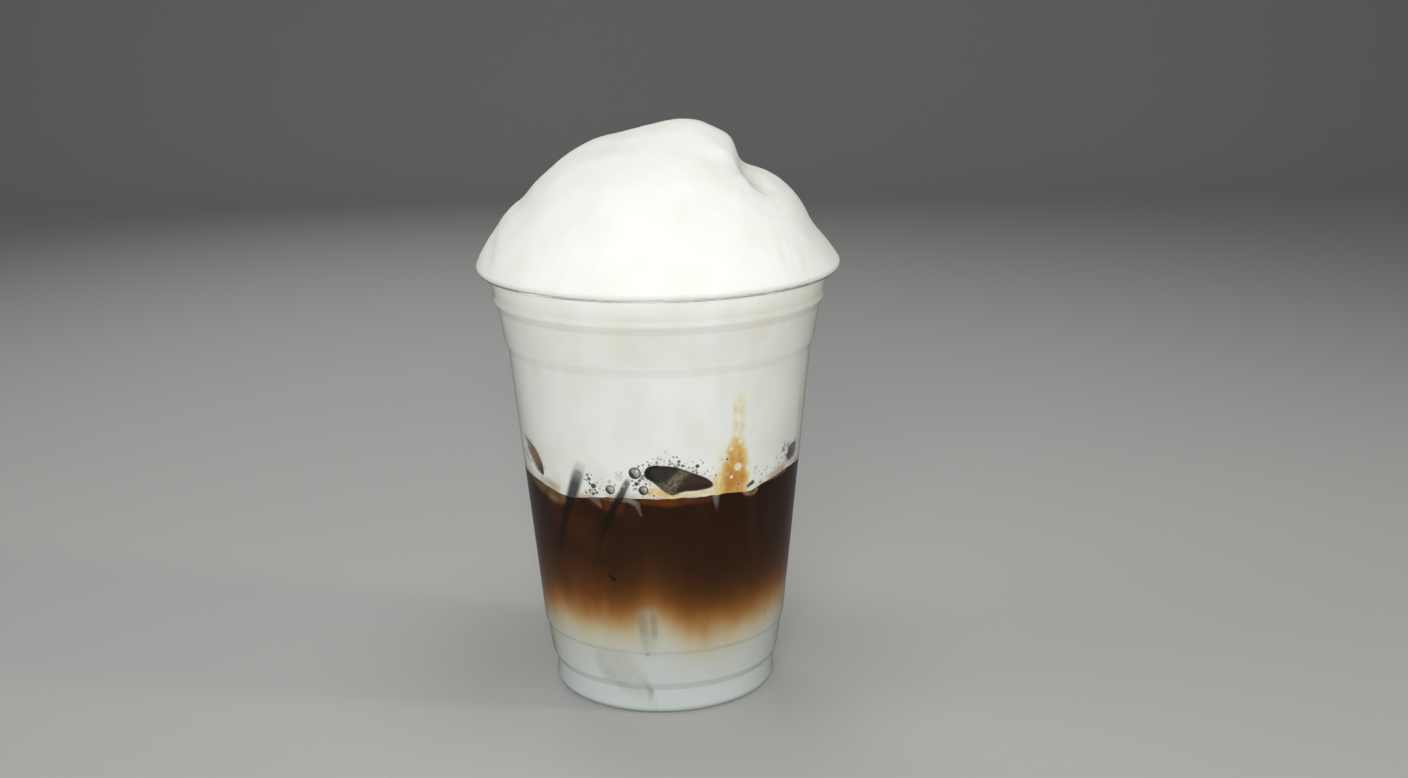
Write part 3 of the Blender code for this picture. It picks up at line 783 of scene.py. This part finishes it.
class Nodes:
    """Shorthand for building one material's node tree."""

    def __init__(self, name):
        self.material = bpy.data.materials.new(name)
        self.material.use_nodes = True
        self.tree = self.material.node_tree
        self.shader = self.tree.nodes["Principled BSDF"]

    def add(self, kind, **settings):
        node = self.tree.nodes.new(kind)
        for key, value in settings.items():
            setattr(node, key, value)
        return node

    def put(self, socket, value):
        """Links value to socket where it is an output, and otherwise sets it."""
        if isinstance(value, bpy.types.NodeSocket):
            self.tree.links.new(value, socket)
        else:
            socket.default_value = value

    def attribute(self, name):
        return self.add("ShaderNodeAttribute", attribute_name=name).outputs["Fac"]

    def position(self):
        return self.add("ShaderNodeTexCoord").outputs["Object"]

    def math(self, operation, a, b=0.0, clamp=False):
        node = self.add("ShaderNodeMath", operation=operation, use_clamp=clamp)
        self.put(node.inputs[0], a)
        self.put(node.inputs[1], b)
        return node.outputs[0]

    def times(self, a, b):
        return self.math("MULTIPLY", a, b)

    def step(self, value, low, high, to_low=0.0, to_high=1.0):
        """A smooth step of value, from to_low at low to to_high at high."""
        node = self.add("ShaderNodeMapRange", interpolation_type="SMOOTHSTEP")
        for socket, number in zip(node.inputs[:5], (value, low, high, to_low, to_high)):
            self.put(socket, number)
        return node.outputs[0]

    def mix(self, share, a, b, blend="MIX"):
        node = self.add("ShaderNodeMix", data_type="RGBA", blend_type=blend)
        self.put(node.inputs[0], share)
        self.put(node.inputs[6], a)
        self.put(node.inputs[7], b)
        return node.outputs[2]

    def scaled(self, stretch):
        """Positions with each axis scaled, for streaks."""
        node = self.add("ShaderNodeMapping")
        self.put(node.inputs["Vector"], self.position())
        node.inputs["Scale"].default_value = stretch
        return node.outputs[0]

    def noise(self, size, detail=2.0, stretch=(1, 1, 1), rough=0.5):
        """Noise of about this size, in metres, from 0 to 1."""
        node = self.add("ShaderNodeTexNoise")
        self.put(node.inputs["Vector"], self.scaled(stretch))
        node.inputs["Scale"].default_value = 1.0 / size
        node.inputs["Detail"].default_value = detail
        node.inputs["Roughness"].default_value = rough
        return node.outputs["Fac"]

    def cells(self, size, jitter=1.0):
        """Distance to the nearest of scattered points, in cells, and that cell's colour."""
        node = self.add("ShaderNodeTexVoronoi")
        self.put(node.inputs["Vector"], self.position())
        node.inputs["Scale"].default_value = 1.0 / size
        node.inputs["Randomness"].default_value = jitter
        return node.outputs["Distance"], node.outputs["Color"]

    def ramp(self, value, *stops):
        """Smooth colours through stops: a place in the value's own unit, red, green, blue."""
        low, high = stops[0][0], stops[-1][0]
        spread = self.add("ShaderNodeMapRange")
        for socket, number in zip(spread.inputs[:5], (value, low, high, 0.0, 1.0)):
            self.put(socket, number)
        node = self.add("ShaderNodeValToRGB")
        self.put(node.inputs[0], spread.outputs[0])
        marks = node.color_ramp.elements
        while len(marks) < len(stops):
            marks.new(0.5)
        for mark, (place, *colour) in zip(marks, stops):
            mark.position = (place - low) / (high - low)
            mark.color = srgb(*colour)
        node.color_ramp.interpolation = "B_SPLINE"
        return node.outputs[0]

    def bump(self, height, strength, distance):
        node = self.add("ShaderNodeBump")
        node.inputs["Strength"].default_value = strength
        node.inputs["Distance"].default_value = distance
        self.put(node.inputs["Height"], height)
        self.put(self.shader.inputs["Normal"], node.outputs[0])

    def finish(self, colour, roughness, ior=1.45, specular=0.5):
        self.put(self.shader.inputs["Base Color"], colour)
        self.put(self.shader.inputs["Roughness"], roughness)
        self.shader.inputs["IOR"].default_value = ior
        self.shader.inputs["Specular IOR Level"].default_value = specular
        return self.material


def cup_material():
    """Clear thermoformed plastic, with a faint unevenness in its gloss."""
    nodes = Nodes("clear_plastic")
    uneven = nodes.noise(9 * MM, 2.0, (1, 1, 0.5))
    nodes.bump(uneven, 0.05, 0.4 * MM)
    roughness = nodes.step(nodes.noise(5 * MM), 0.3, 0.7, 0.02, 0.06)
    nodes.shader.inputs["Transmission Weight"].default_value = 1.0
    return nodes.finish(srgb(250, 252, 250), roughness, PLASTIC_IOR)


def micro_bubbles(nodes, size, fizz):
    """A mask of scattered small bubbles, more and bigger where fizz is high."""
    away, tint = nodes.cells(size)
    draw = nodes.add("ShaderNodeSeparateColor")
    nodes.put(draw.inputs[0], tint)
    spread = nodes.step(draw.outputs[0], 0.0, 1.0, 0.20, 0.50)
    radius = nodes.times(spread, nodes.step(fizz, 0.0, 0.8, 0.4, 1.0))
    inside = nodes.step(nodes.math("SUBTRACT", radius, away), 0.0, 0.10)
    present = nodes.math("GREATER_THAN", nodes.math("ADD", draw.outputs[1], fizz), 1.0)
    return nodes.times(inside, present)


def foam_colour(nodes):
    """White foam; against the wall greyer and mottled, with crema, bubbles and pockets, painted shade
    under the fold, and painted shade and glints in the bubbles.
    """
    wall, rise, crema, edge, shade, pocket, froth, slash, fizz = map(
        nodes.attribute,
        ("wall", "rise", "crema", "edge", "shade", "pocket", "froth", "slash", "fizz"),
    )

    mottle = nodes.noise(9 * MM, 4.0, (1, 1, 0.7))
    heap = nodes.mix(nodes.step(mottle, 0.35, 0.7), srgb(250, 251, 247), srgb(247, 247, 241))
    behind = nodes.mix(nodes.step(mottle, 0.3, 0.7), srgb(238, 240, 235), srgb(231, 233, 226))
    warm = nodes.times(nodes.step(rise, 30.0, 44.0), nodes.step(nodes.noise(14 * MM), 0.4, 0.65))
    behind = nodes.mix(nodes.times(warm, 0.5), behind, srgb(232, 228, 210))
    grey = nodes.times(nodes.step(rise, 12.0, 0.0), nodes.step(nodes.noise(6 * MM), 0.4, 0.7))
    behind = nodes.mix(nodes.times(grey, 0.5), behind, srgb(214, 217, 218))
    # Painted shade: olive grey in the hollow under the fold, where the bank keeps light off
    shaded = nodes.step(nodes.attribute("hollow"), 0.2, 1.0, 0.0, 0.6)
    heap = nodes.mix(shaded, heap, srgb(206, 205, 188))
    colour = nodes.mix(wall, heap, behind)

    # Wet foam just over the coffee takes a beige tint
    tint = nodes.times(nodes.step(rise, 0.0, 2.0, 0.8, 0.0), wall)
    uneven = nodes.step(nodes.noise(7 * MM), 0.35, 0.6, 0.15, 1.0)
    colour = nodes.mix(nodes.times(tint, uneven), colour, srgb(182, 158, 122))

    # Crema: saturated where it is thick, pale yellow where it is thin
    ragged = nodes.math("SUBTRACT", nodes.noise(1.9 * MM, 5.0, (1, 1, 0.7), 0.68), 0.5)
    ragged = nodes.times(ragged, nodes.step(crema, 0.0, 0.5, 0.0, 1.5))
    thick = nodes.math("ADD", crema, ragged)
    stain = nodes.ramp(
        thick, (0.0, 232, 230, 216), (0.2, 228, 220, 188), (0.45, 224, 202, 142),
        (0.75, 214, 176, 104), (1.05, 200, 144, 66), (1.4, 182, 120, 48),
    )
    colour = nodes.mix(nodes.step(thick, 0.0, 0.45), colour, stain)

    # Edges of ice show grey through the foam
    colour = nodes.mix(nodes.step(slash, 0.0, 1.0, 0.0, 0.95), colour, srgb(50, 48, 47))

    # Bubbles: a pale wall round a darker inside
    small = micro_bubbles(nodes, 1.0 * MM, fizz)
    larger = micro_bubbles(nodes, 1.7 * MM, nodes.times(fizz, 0.8))
    micro = nodes.times(nodes.math("MAXIMUM", small, larger), wall)
    colour = nodes.mix(nodes.times(micro, 0.75), colour, srgb(84, 80, 74))
    finest = nodes.times(micro_bubbles(nodes, 0.65 * MM, fizz), wall)
    colour = nodes.mix(nodes.times(finest, 0.5), colour, srgb(92, 88, 82))
    rim = nodes.times(nodes.step(edge, 0.0, 0.25, 0.6, 0.0), wall)
    colour = nodes.mix(rim, colour, srgb(236, 236, 228))
    # The shade field darkens inside bubbles, with painted shade crescents on the larger ones
    inside = nodes.step(edge, 0.06, -0.10)
    dark = nodes.times(inside, nodes.math("ADD", shade, 0.0, True))
    colour = nodes.mix(dark, colour, srgb(52, 46, 40))
    # Below zero the shade paints pale bubbles and painted glints, a painted highlight
    pale = nodes.times(inside, nodes.math("MULTIPLY", shade, -1.0, True))
    colour = nodes.mix(pale, colour, srgb(246, 238, 222))

    # Pockets show the dark drink behind them, with a band of froth
    hollow = nodes.step(pocket, 0.10, -0.14)
    deep = nodes.ramp(
        nodes.attribute("hue"),
        (0.0, 38, 37, 33), (1.0, 58, 40, 28), (1.6, 84, 66, 40), (2.4, 138, 106, 70),
    )
    deep = nodes.mix(nodes.step(nodes.noise(3.0 * MM), 0.45, 0.7, 0.0, 0.4), deep, srgb(74, 60, 48))
    colour = nodes.mix(hollow, colour, deep)
    ball, _ = nodes.cells(0.95 * MM)
    cellular = nodes.mix(nodes.step(ball, 0.15, 0.6), srgb(70, 62, 50), srgb(138, 127, 108))
    band = nodes.times(nodes.step(froth, 0.9, -0.7, 0.0, 0.85), hollow)
    return nodes.mix(band, colour, cellular)


def foam_material():
    nodes = Nodes("milk_foam")
    colour = foam_colour(nodes)
    pores, _ = nodes.cells(0.55 * MM)
    grain = nodes.math("ADD", nodes.noise(1.1 * MM, 3.0), nodes.times(pores, 0.5))
    nodes.bump(grain, 0.08, 0.25 * MM)
    roughness = nodes.step(nodes.attribute("pocket"), -0.14, 0.10, 0.3, 0.6)
    return nodes.finish(colour, roughness, specular=0.2)


def drink_colour(nodes):
    """Coffee above, milk below, with a soft uneven blend between them."""
    blend = nodes.attribute("blend")
    slow = nodes.math("SUBTRACT", nodes.noise(13 * MM, 2.0, (1, 1, 0.6)), 0.5)
    streaky = nodes.math("SUBTRACT", nodes.noise(4.5 * MM, 3.0, (1, 1, 0.22)), 0.5)
    shift = nodes.math("ADD", nodes.times(slow, 6.0), nodes.times(streaky, 2.6))
    return nodes.ramp(
        nodes.math("ADD", blend, shift),
        (-22.0, 203, 210, 209), (-13.0, 198, 200, 192), (-8.0, 193, 186, 163),
        (-5.0, 184, 163, 124), (-2.2, 166, 124, 74), (0.6, 136, 88, 42), (3.6, 102, 61, 25),
        (8.0, 68, 40, 18), (15.0, 45, 26, 14), (30.0, 40, 22, 12),
    )


def over_ice(nodes, colour):
    """The drink where ice lies close behind it: pale faces with soft darker edges."""
    face, line = nodes.attribute("face"), nodes.attribute("line")
    cloudy = nodes.step(nodes.noise(4 * MM, 3.0), 0.3, 0.7, 0.6, 1.0)
    face = nodes.times(nodes.step(face, 1.8, -2.5, 0.0, 0.45), cloudy)
    colour = nodes.mix(face, colour, srgb(170, 170, 158))
    line = nodes.times(nodes.step(line, 0.0, 1.0, 0.0, 0.75), cloudy)
    return nodes.mix(line, colour, srgb(126, 114, 92))


def coffee_material():
    nodes = Nodes("coffee")
    colour = over_ice(nodes, drink_colour(nodes))
    slash, veil = nodes.attribute("slash"), nodes.attribute("veil")
    glow, tan = nodes.attribute("glow"), nodes.attribute("tan")
    cloudy = nodes.step(nodes.noise(4 * MM, 3.0), 0.3, 0.65, 0.45, 1.0)
    colour = nodes.mix(nodes.times(glow, cloudy), colour, srgb(98, 50, 18))
    # Painted sheen: faint lighter streaks stretched upright over the coffee
    painted_sheen = nodes.step(nodes.noise(3.6 * MM, 3.0, (1, 1, 0.14)), 0.5, 0.8, 0.0, 0.25)
    colour = nodes.mix(painted_sheen, colour, srgb(76, 50, 32))
    tan = nodes.times(nodes.step(tan, 0.0, 1.0), cloudy)
    colour = nodes.mix(tan, colour, srgb(158, 128, 92))
    veil = nodes.times(nodes.step(veil, 0.0, 0.95, 0.0, 0.85), cloudy)
    colour = nodes.mix(veil, colour, srgb(142, 134, 123))
    colour = nodes.mix(nodes.step(slash, 0.0, 1.0, 0.0, 0.95), colour, srgb(24, 18, 12))
    return nodes.finish(colour, DRINK_ROUGHNESS, DRINK_IOR, DRINK_SPECULAR)


def milk_material():
    nodes = Nodes("milk")
    colour = over_ice(nodes, drink_colour(nodes))
    return nodes.finish(colour, DRINK_ROUGHNESS, DRINK_IOR, DRINK_SPECULAR)


# Pieces

def place_piece(obj, material, node):
    obj.data.materials.append(material)
    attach(obj, "root")
    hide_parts(node)
    return obj


def make_cup():
    """The clear cup, turned from its sheet's inner and outer line."""
    profile = offset_line(SHEET, -WALL / 2) + offset_line(SHEET, WALL / 2)[::-1]
    angles = angles_of(CUP_SEGMENTS)
    rings = [ring(angles, p.x, p.y) for p in profile[1:-1]]
    cup = closed_body("clear_cup", [pole(profile[0].y), *rings, pole(profile[-1].y)])
    # Light falls through it onto the drink as if it weren't there
    cup.visible_shadow = False
    cup.visible_diffuse = False
    return place_piece(cup, cup_material(), "cup")


def wall_ring(angles, level):
    """A ring of the drink's surface at levels on the wall, in millimetres."""
    return ring(angles, skin_radius(level * MM), level * MM)


def drink_rings(low_level, high_level, rows, count):
    """Rings up the wall between two levels, given as functions of the angle."""
    angles = angles_of(count)
    low, high = low_level(angles), high_level(angles)
    return [wall_ring(angles, low + (high - low) * row / rows) for row in range(rows + 1)]


def set_drink_fields(drink):
    """Fields for the blend and the ice; returns the points' angles and heights."""
    angle, height, _ = places_of(drink)
    set_field(drink, "blend", height - blend_level(angle))
    faces = [outline_distance(angle, height, face) for face in ICE_FACES]
    set_field(drink, "face", np.min(faces, axis=0))
    set_field(drink, "line", strokes(angle, height, ICE_LINES))
    return angle, height


def make_milk():
    foot = [p for p in SKIN if p.y < SHOULDER_HEIGHT + FOOT_MARGIN and p.x < CURL_RADIUS]
    rings = [pole(foot[0].y)]
    rings += [ring(angles_of(MILK_COUNT), p.x, p.y) for p in foot[1:]]
    start = (foot[-1].y + FOOT_MARGIN) / MM
    rings += drink_rings(lambda a: np.full(a.shape, start), milk_top, MILK_ROWS, MILK_COUNT)
    rings += face_rings(milk_top, MILK_COUNT, False)
    milk = closed_body("milk_layer", rings)
    set_drink_fields(milk)
    return place_piece(milk, milk_material(), "milk")


def make_coffee():
    rings = face_rings(milk_top, COFFEE_COUNT, True)
    rings += drink_rings(milk_top, coffee_top, COFFEE_ROWS, COFFEE_COUNT)
    rings += face_rings(coffee_top, COFFEE_COUNT, False)
    coffee = closed_body("coffee_layer", rings)
    angle, height = set_drink_fields(coffee)
    marks = {"slash": ICE_EDGES, "veil": VEILS, "glow": GLOWS, "tan": TAN_WISPS}
    for name, lines in marks.items():
        set_field(coffee, name, strokes(angle, height, lines))
    return place_piece(coffee, coffee_material(), "coffee")


def crease(x, y, line, widths):
    """Depth of a groove along points (x, y, depth) in mm, with its own width on each side."""
    deepest = np.zeros_like(x)
    curve = open_curve(line) * MM
    for start, end in zip(curve, curve[1:]):
        share, dx, dy = from_segment(x, y, start[:2], end[:2])
        left = (end[0] - start[0]) * dy - (end[1] - start[1]) * dx > 0
        width = np.where(left, widths[0] * MM, widths[1] * MM)
        depth = start[2] + share * (end[2] - start[2])
        deepest = np.maximum(deepest, depth * np.exp(-((np.hypot(dx, dy) / width) ** 2)))
    return deepest


def bump_at(x, y, place, spread):
    return np.exp(-(((x - place[0]) / spread[0]) ** 2 + ((y - place[1]) / spread[1]) ** 2) / 2)


def folded_over(x, y):
    """Lift of the mass that is folded over to the right, with its steep bank."""
    width = BANK_WIDTH + BANK_SOFTENING * smooth_step(BANK_END_Y - y, 0.0, BANK_END_RUN)
    bank = 1.0 / (1.0 + np.exp(np.minimum((x - BANK_X) / width, MOST_EXPONENT)))
    left, right, along = FOLD_SPREADS
    spread = (np.where(x < FOLD_PEAK_X, left, right), along)
    return FOLD_LIFT * bank * bump_at(x, y, (FOLD_PEAK_X, 0.0), spread)


def foam_height(x, y):
    """Height of the heap of foam over points."""
    out = np.minimum(1.0, (x * x + y * y) / DOME_RADIUS**2)
    z = DOME_FOOT_HEIGHT + DOME_RISE * (1 - out) ** DOME_ROUNDNESS + folded_over(x, y)
    for place, spread, rise in MOUNDS:
        z += rise * MM * bump_at(x / MM, y / MM, place, spread)
    inside = np.clip((DOME_RADIUS - np.hypot(x, y)) / EDGE_FADE, 0, 1)
    for line, widths in CREASES + RIPPLES:
        z -= inside * crease(x, y, line, widths)
    lumps = np.array([noise.noise(Vector((a, b, 0.0)) / LUMP_SIZE) for a, b in zip(x, y)])
    return z + LUMP_HEIGHT * lumps * (1 - out)


def relief(x, y, z):
    """Fine unevenness of the heap's surface."""
    total = np.zeros_like(x)
    for size, height in RELIEF:
        for i, spot in enumerate(zip(x, y, z)):
            total[i] += height * noise.noise(Vector(spot) / size)
    return total


def dome_ring(radius):
    """One ring of the heap, with fewer points towards its top."""
    count = DOME_COUNT
    while count > FEWEST_POINTS and radius < HALVING_RADIUS * count / DOME_COUNT:
        count //= 2
    turn = np.radians(angles_of(count))
    x, y = radius * np.sin(turn), -radius * np.cos(turn)
    z = foam_height(x, y)
    fade = min(1.0, (DOME_EDGE_RADIUS - radius) / RELIEF_FADE)
    return np.stack([x, y, z + fade * relief(x, y, z)], axis=1)


def curl_points(height):
    """The skin over the top of the curl and down to a height on its outside."""
    points = []
    for here, beyond in zip(SKIN, SKIN[1:]):
        if here.y > NECK_HEIGHT - MM or here.x > NECK_RADIUS:
            points.append(here)
        if here.x > CURL_RADIUS and beyond.y < height:
            return points + [here.lerp(beyond, (height - here.y) / (beyond.y - here.y))]
    return points


def dented(angle, height):
    """Radius of the foam's surface against the wall, dented by bubbles and pockets."""
    edge, shade, size = bubble_fields(angle, height)
    ball = np.clip(-edge / size, 0, 1)
    dent = np.sqrt(1 - (1 - ball) ** 2) * size * BUBBLE_DENT * (shade > 0.1)
    pocket = pocket_distance(angle, height)
    hollow = np.clip(-pocket, 0, None)
    dent = np.maximum(dent, POCKET_DEPTH * (1 - np.exp(-hollow / POCKET_SIDE)))
    return skin_radius(height * MM) - dent * MM


def pocket_distance(angle, height):
    """Distance in millimetres to the nearest pocket's outline, negative inside."""
    outlines = (FRONT_POCKET, LEFT_POCKET, RIGHT_POCKET, BACK_POCKET, BACK_POCKET_2)
    return np.min([outline_distance(angle, height, o) for o in outlines], axis=0)


def foam_rings():
    angles = angles_of(BAND_COUNT)
    low = coffee_top(angles)
    rings = face_rings(coffee_top, BAND_COUNT, True)
    rings.append(wall_ring(angles, low))
    for row in range(1, BAND_ROWS + 1):
        level = low + (BAND_TOP - low) * row / BAND_ROWS
        rings.append(ring(angles, dented(angles, level), level * MM))
    angles = angles_of(BAND_COUNT // 2)
    level = BAND_TOP + FIRST_ROW
    rings.append(wall_ring(angles, level))
    angles = angles_of(WALL_COUNT)
    level += WALL_ROW
    while level < CONE_TOP_HEIGHT / MM - CONE_MARGIN:
        rings.append(wall_ring(angles, level))
        level += WALL_ROW
    upper = [p for p in SKIN_SIDE if CONE_TOP_HEIGHT - MM < p.y < NECK_HEIGHT - MM]
    lip = lip_rings()
    for p in upper + curl_points(lip[0][:, 2].max()):
        rings.append(ring(angles, p.x, p.y))
    rings += lip
    radius = DOME_EDGE_RADIUS
    while radius > DOME_ROW:
        rings.append(dome_ring(radius))
        radius -= DOME_ROW
    rings.append(pole(foam_height(np.zeros(1), np.zeros(1))[0]))
    return rings


def lip_rings():
    """The foam's edge over the rim, from its ragged lower end up to the heap."""
    angles = angles_of(DOME_COUNT)
    ragged = LIP_UNEVENNESS * (wobble(angles, 1.0) + 0.6 * wobble(angles * 4, 2.0))
    turn = LIP_HIGHEST_ANGLE - LIP_LOWEST_ANGLE
    rings = []
    for step in range(LIP_STEPS + 1):
        share = step / LIP_STEPS
        angle = math.radians(LIP_LOWEST_ANGLE + turn * share)
        r = LIP_RADIUS + LIP_HALF_WIDTH * math.cos(angle)
        z = LIP_HEIGHT + LIP_HALF_HEIGHT * math.sin(angle)
        rings.append(ring(angles, r, z + ragged * (1 - share) ** 2))
    return rings


def fold_painted_shade(angle, height, radius):
    """How deep a place lies in the hollow under the fold, 0 to 1; this sets the painted shade there.
    """
    turn = np.radians(angle)
    x, y = radius * np.sin(turn), -radius * np.cos(turn)
    line, (left, right) = CREASES[0]
    deepest = max(depth for _, _, depth in line) * MM
    hollow = crease(x, y, line, (left * SHADE_WIDENING, right)) / deepest
    return hollow * (height > DOME_FOOT_HEIGHT / MM)


def make_foam():
    foam = closed_body("foam_heap", foam_rings())
    angle, height, radius = places_of(foam)
    # The front pocket is grey at its left and brown at its right, those at the sides are tan
    brown = smooth_step(angle, 2.0, 12.0) + smooth_step(-angle, 20.0, 30.0)
    tan = 0.3 * smooth_step(angle, 50.0, 62.0) + 1.3 * smooth_step(-angle, 58.0, 67.0)
    edge, shade, _ = bubble_fields(angle, height)
    fields = {
        "wall": height < NECK_HEIGHT / MM,
        "rise": height - coffee_top(angle) - around(angle, WET_FOAM),
        "crema": strokes(angle, height, CREMA),
        # depth in the fold's hollow, which sets its painted shade
        "hollow": fold_painted_shade(angle, height, radius),
        "slash": strokes(angle, height, ICE_EDGES),
        "fizz": fizz_field(angle, height),
        "hue": brown + tan,
        "edge": edge,
        "shade": shade,
        "pocket": pocket_distance(angle, height),
        "froth": outline_distance(angle, height, FROTH),
    }
    for name, values in fields.items():
        set_field(foam, name, values)
    return place_piece(foam, foam_material(), "foam")


# Stage

def make_camera():
    yaw, pitch, roll = CAMERA_YAW, CAMERA_PITCH, CAMERA_ROLL
    ahead = Vector((
        math.sin(yaw) * math.cos(pitch), math.cos(yaw) * math.cos(pitch), -math.sin(pitch)))
    level = Vector((math.cos(yaw), -math.sin(yaw), 0.0))
    upward = level.cross(ahead)
    right = level * math.cos(roll) + upward * math.sin(roll)
    up = upward * math.cos(roll) - level * math.sin(roll)
    data = bpy.data.cameras.new("view")
    data.sensor_width = SENSOR_WIDTH
    data.lens = FOCAL_PIXELS / IMAGE_WIDTH * SENSOR_WIDTH
    data.clip_start = CAMERA_NEAREST
    camera = bpy.data.objects.new("view", data)
    turn = Matrix((right, up, -ahead)).transposed()
    camera.matrix_world = Matrix.Translation(CAMERA_PLACE) @ turn.to_4x4()
    bpy.context.scene.collection.objects.link(camera)
    bpy.context.scene.camera = camera


def make_light(name, place, target, size, power, colour, mirrored):
    data = bpy.data.lights.new(name, "AREA")
    data.shape = "DISK"
    data.size = size
    data.energy = power
    data.color = colour
    data.spread = math.radians(LIGHT_SPREAD)
    light = bpy.data.objects.new(name, data)
    light.location = place
    aim = Vector(target) - Vector(place)
    light.rotation_euler = aim.to_track_quat("-Z", "Y").to_euler()
    light.visible_glossy = mirrored
    bpy.context.scene.collection.objects.link(light)


def make_sky():
    world = bpy.data.worlds.new("studio")
    world.use_nodes = True
    back = world.node_tree.nodes["Background"]
    back.inputs["Color"].default_value = SKY_COLOUR
    back.inputs["Strength"].default_value = SKY_STRENGTH
    bpy.context.scene.world = world


def make_floor():
    """A pale floor that sweeps up behind the object."""
    outline = [(FLOOR_FRONT, 0.0)]
    for step in range(FLOOR_STEPS + 1):
        angle = math.pi / 2 * step / FLOOR_STEPS
        y = FLOOR_DEPTH - FLOOR_BEND * (1 - math.sin(angle))
        outline.append((y, FLOOR_BEND * (1 - math.cos(angle))))
    outline.append((FLOOR_DEPTH, FLOOR_RISE))
    points = [(x, y, z) for y, z in outline for x in (-FLOOR_HALF_WIDTH, FLOOR_HALF_WIDTH)]
    faces = [(2 * i, 2 * i + 1, 2 * i + 3, 2 * i + 2) for i in range(len(outline) - 1)]
    mesh = bpy.data.meshes.new("floor")
    mesh.from_pydata(points, [], faces)
    mesh.shade_smooth()
    floor = bpy.data.objects.new("floor", mesh)
    bpy.context.scene.collection.objects.link(floor)
    nodes = Nodes("floor")
    mesh.materials.append(nodes.finish(FLOOR_COLOUR, FLOOR_ROUGHNESS, specular=0.2))
    # The photograph's surroundings are dark, so the cup mirrors no pale floor
    floor.visible_glossy = False


def main():
    bpy.context.scene.view_settings.view_transform = "Standard"
    make_camera()
    for light in LIGHTS:
        make_light(*light)
    make_sky()
    make_floor()
    make_cup()
    make_milk()
    make_coffee()
    make_foam()


main()
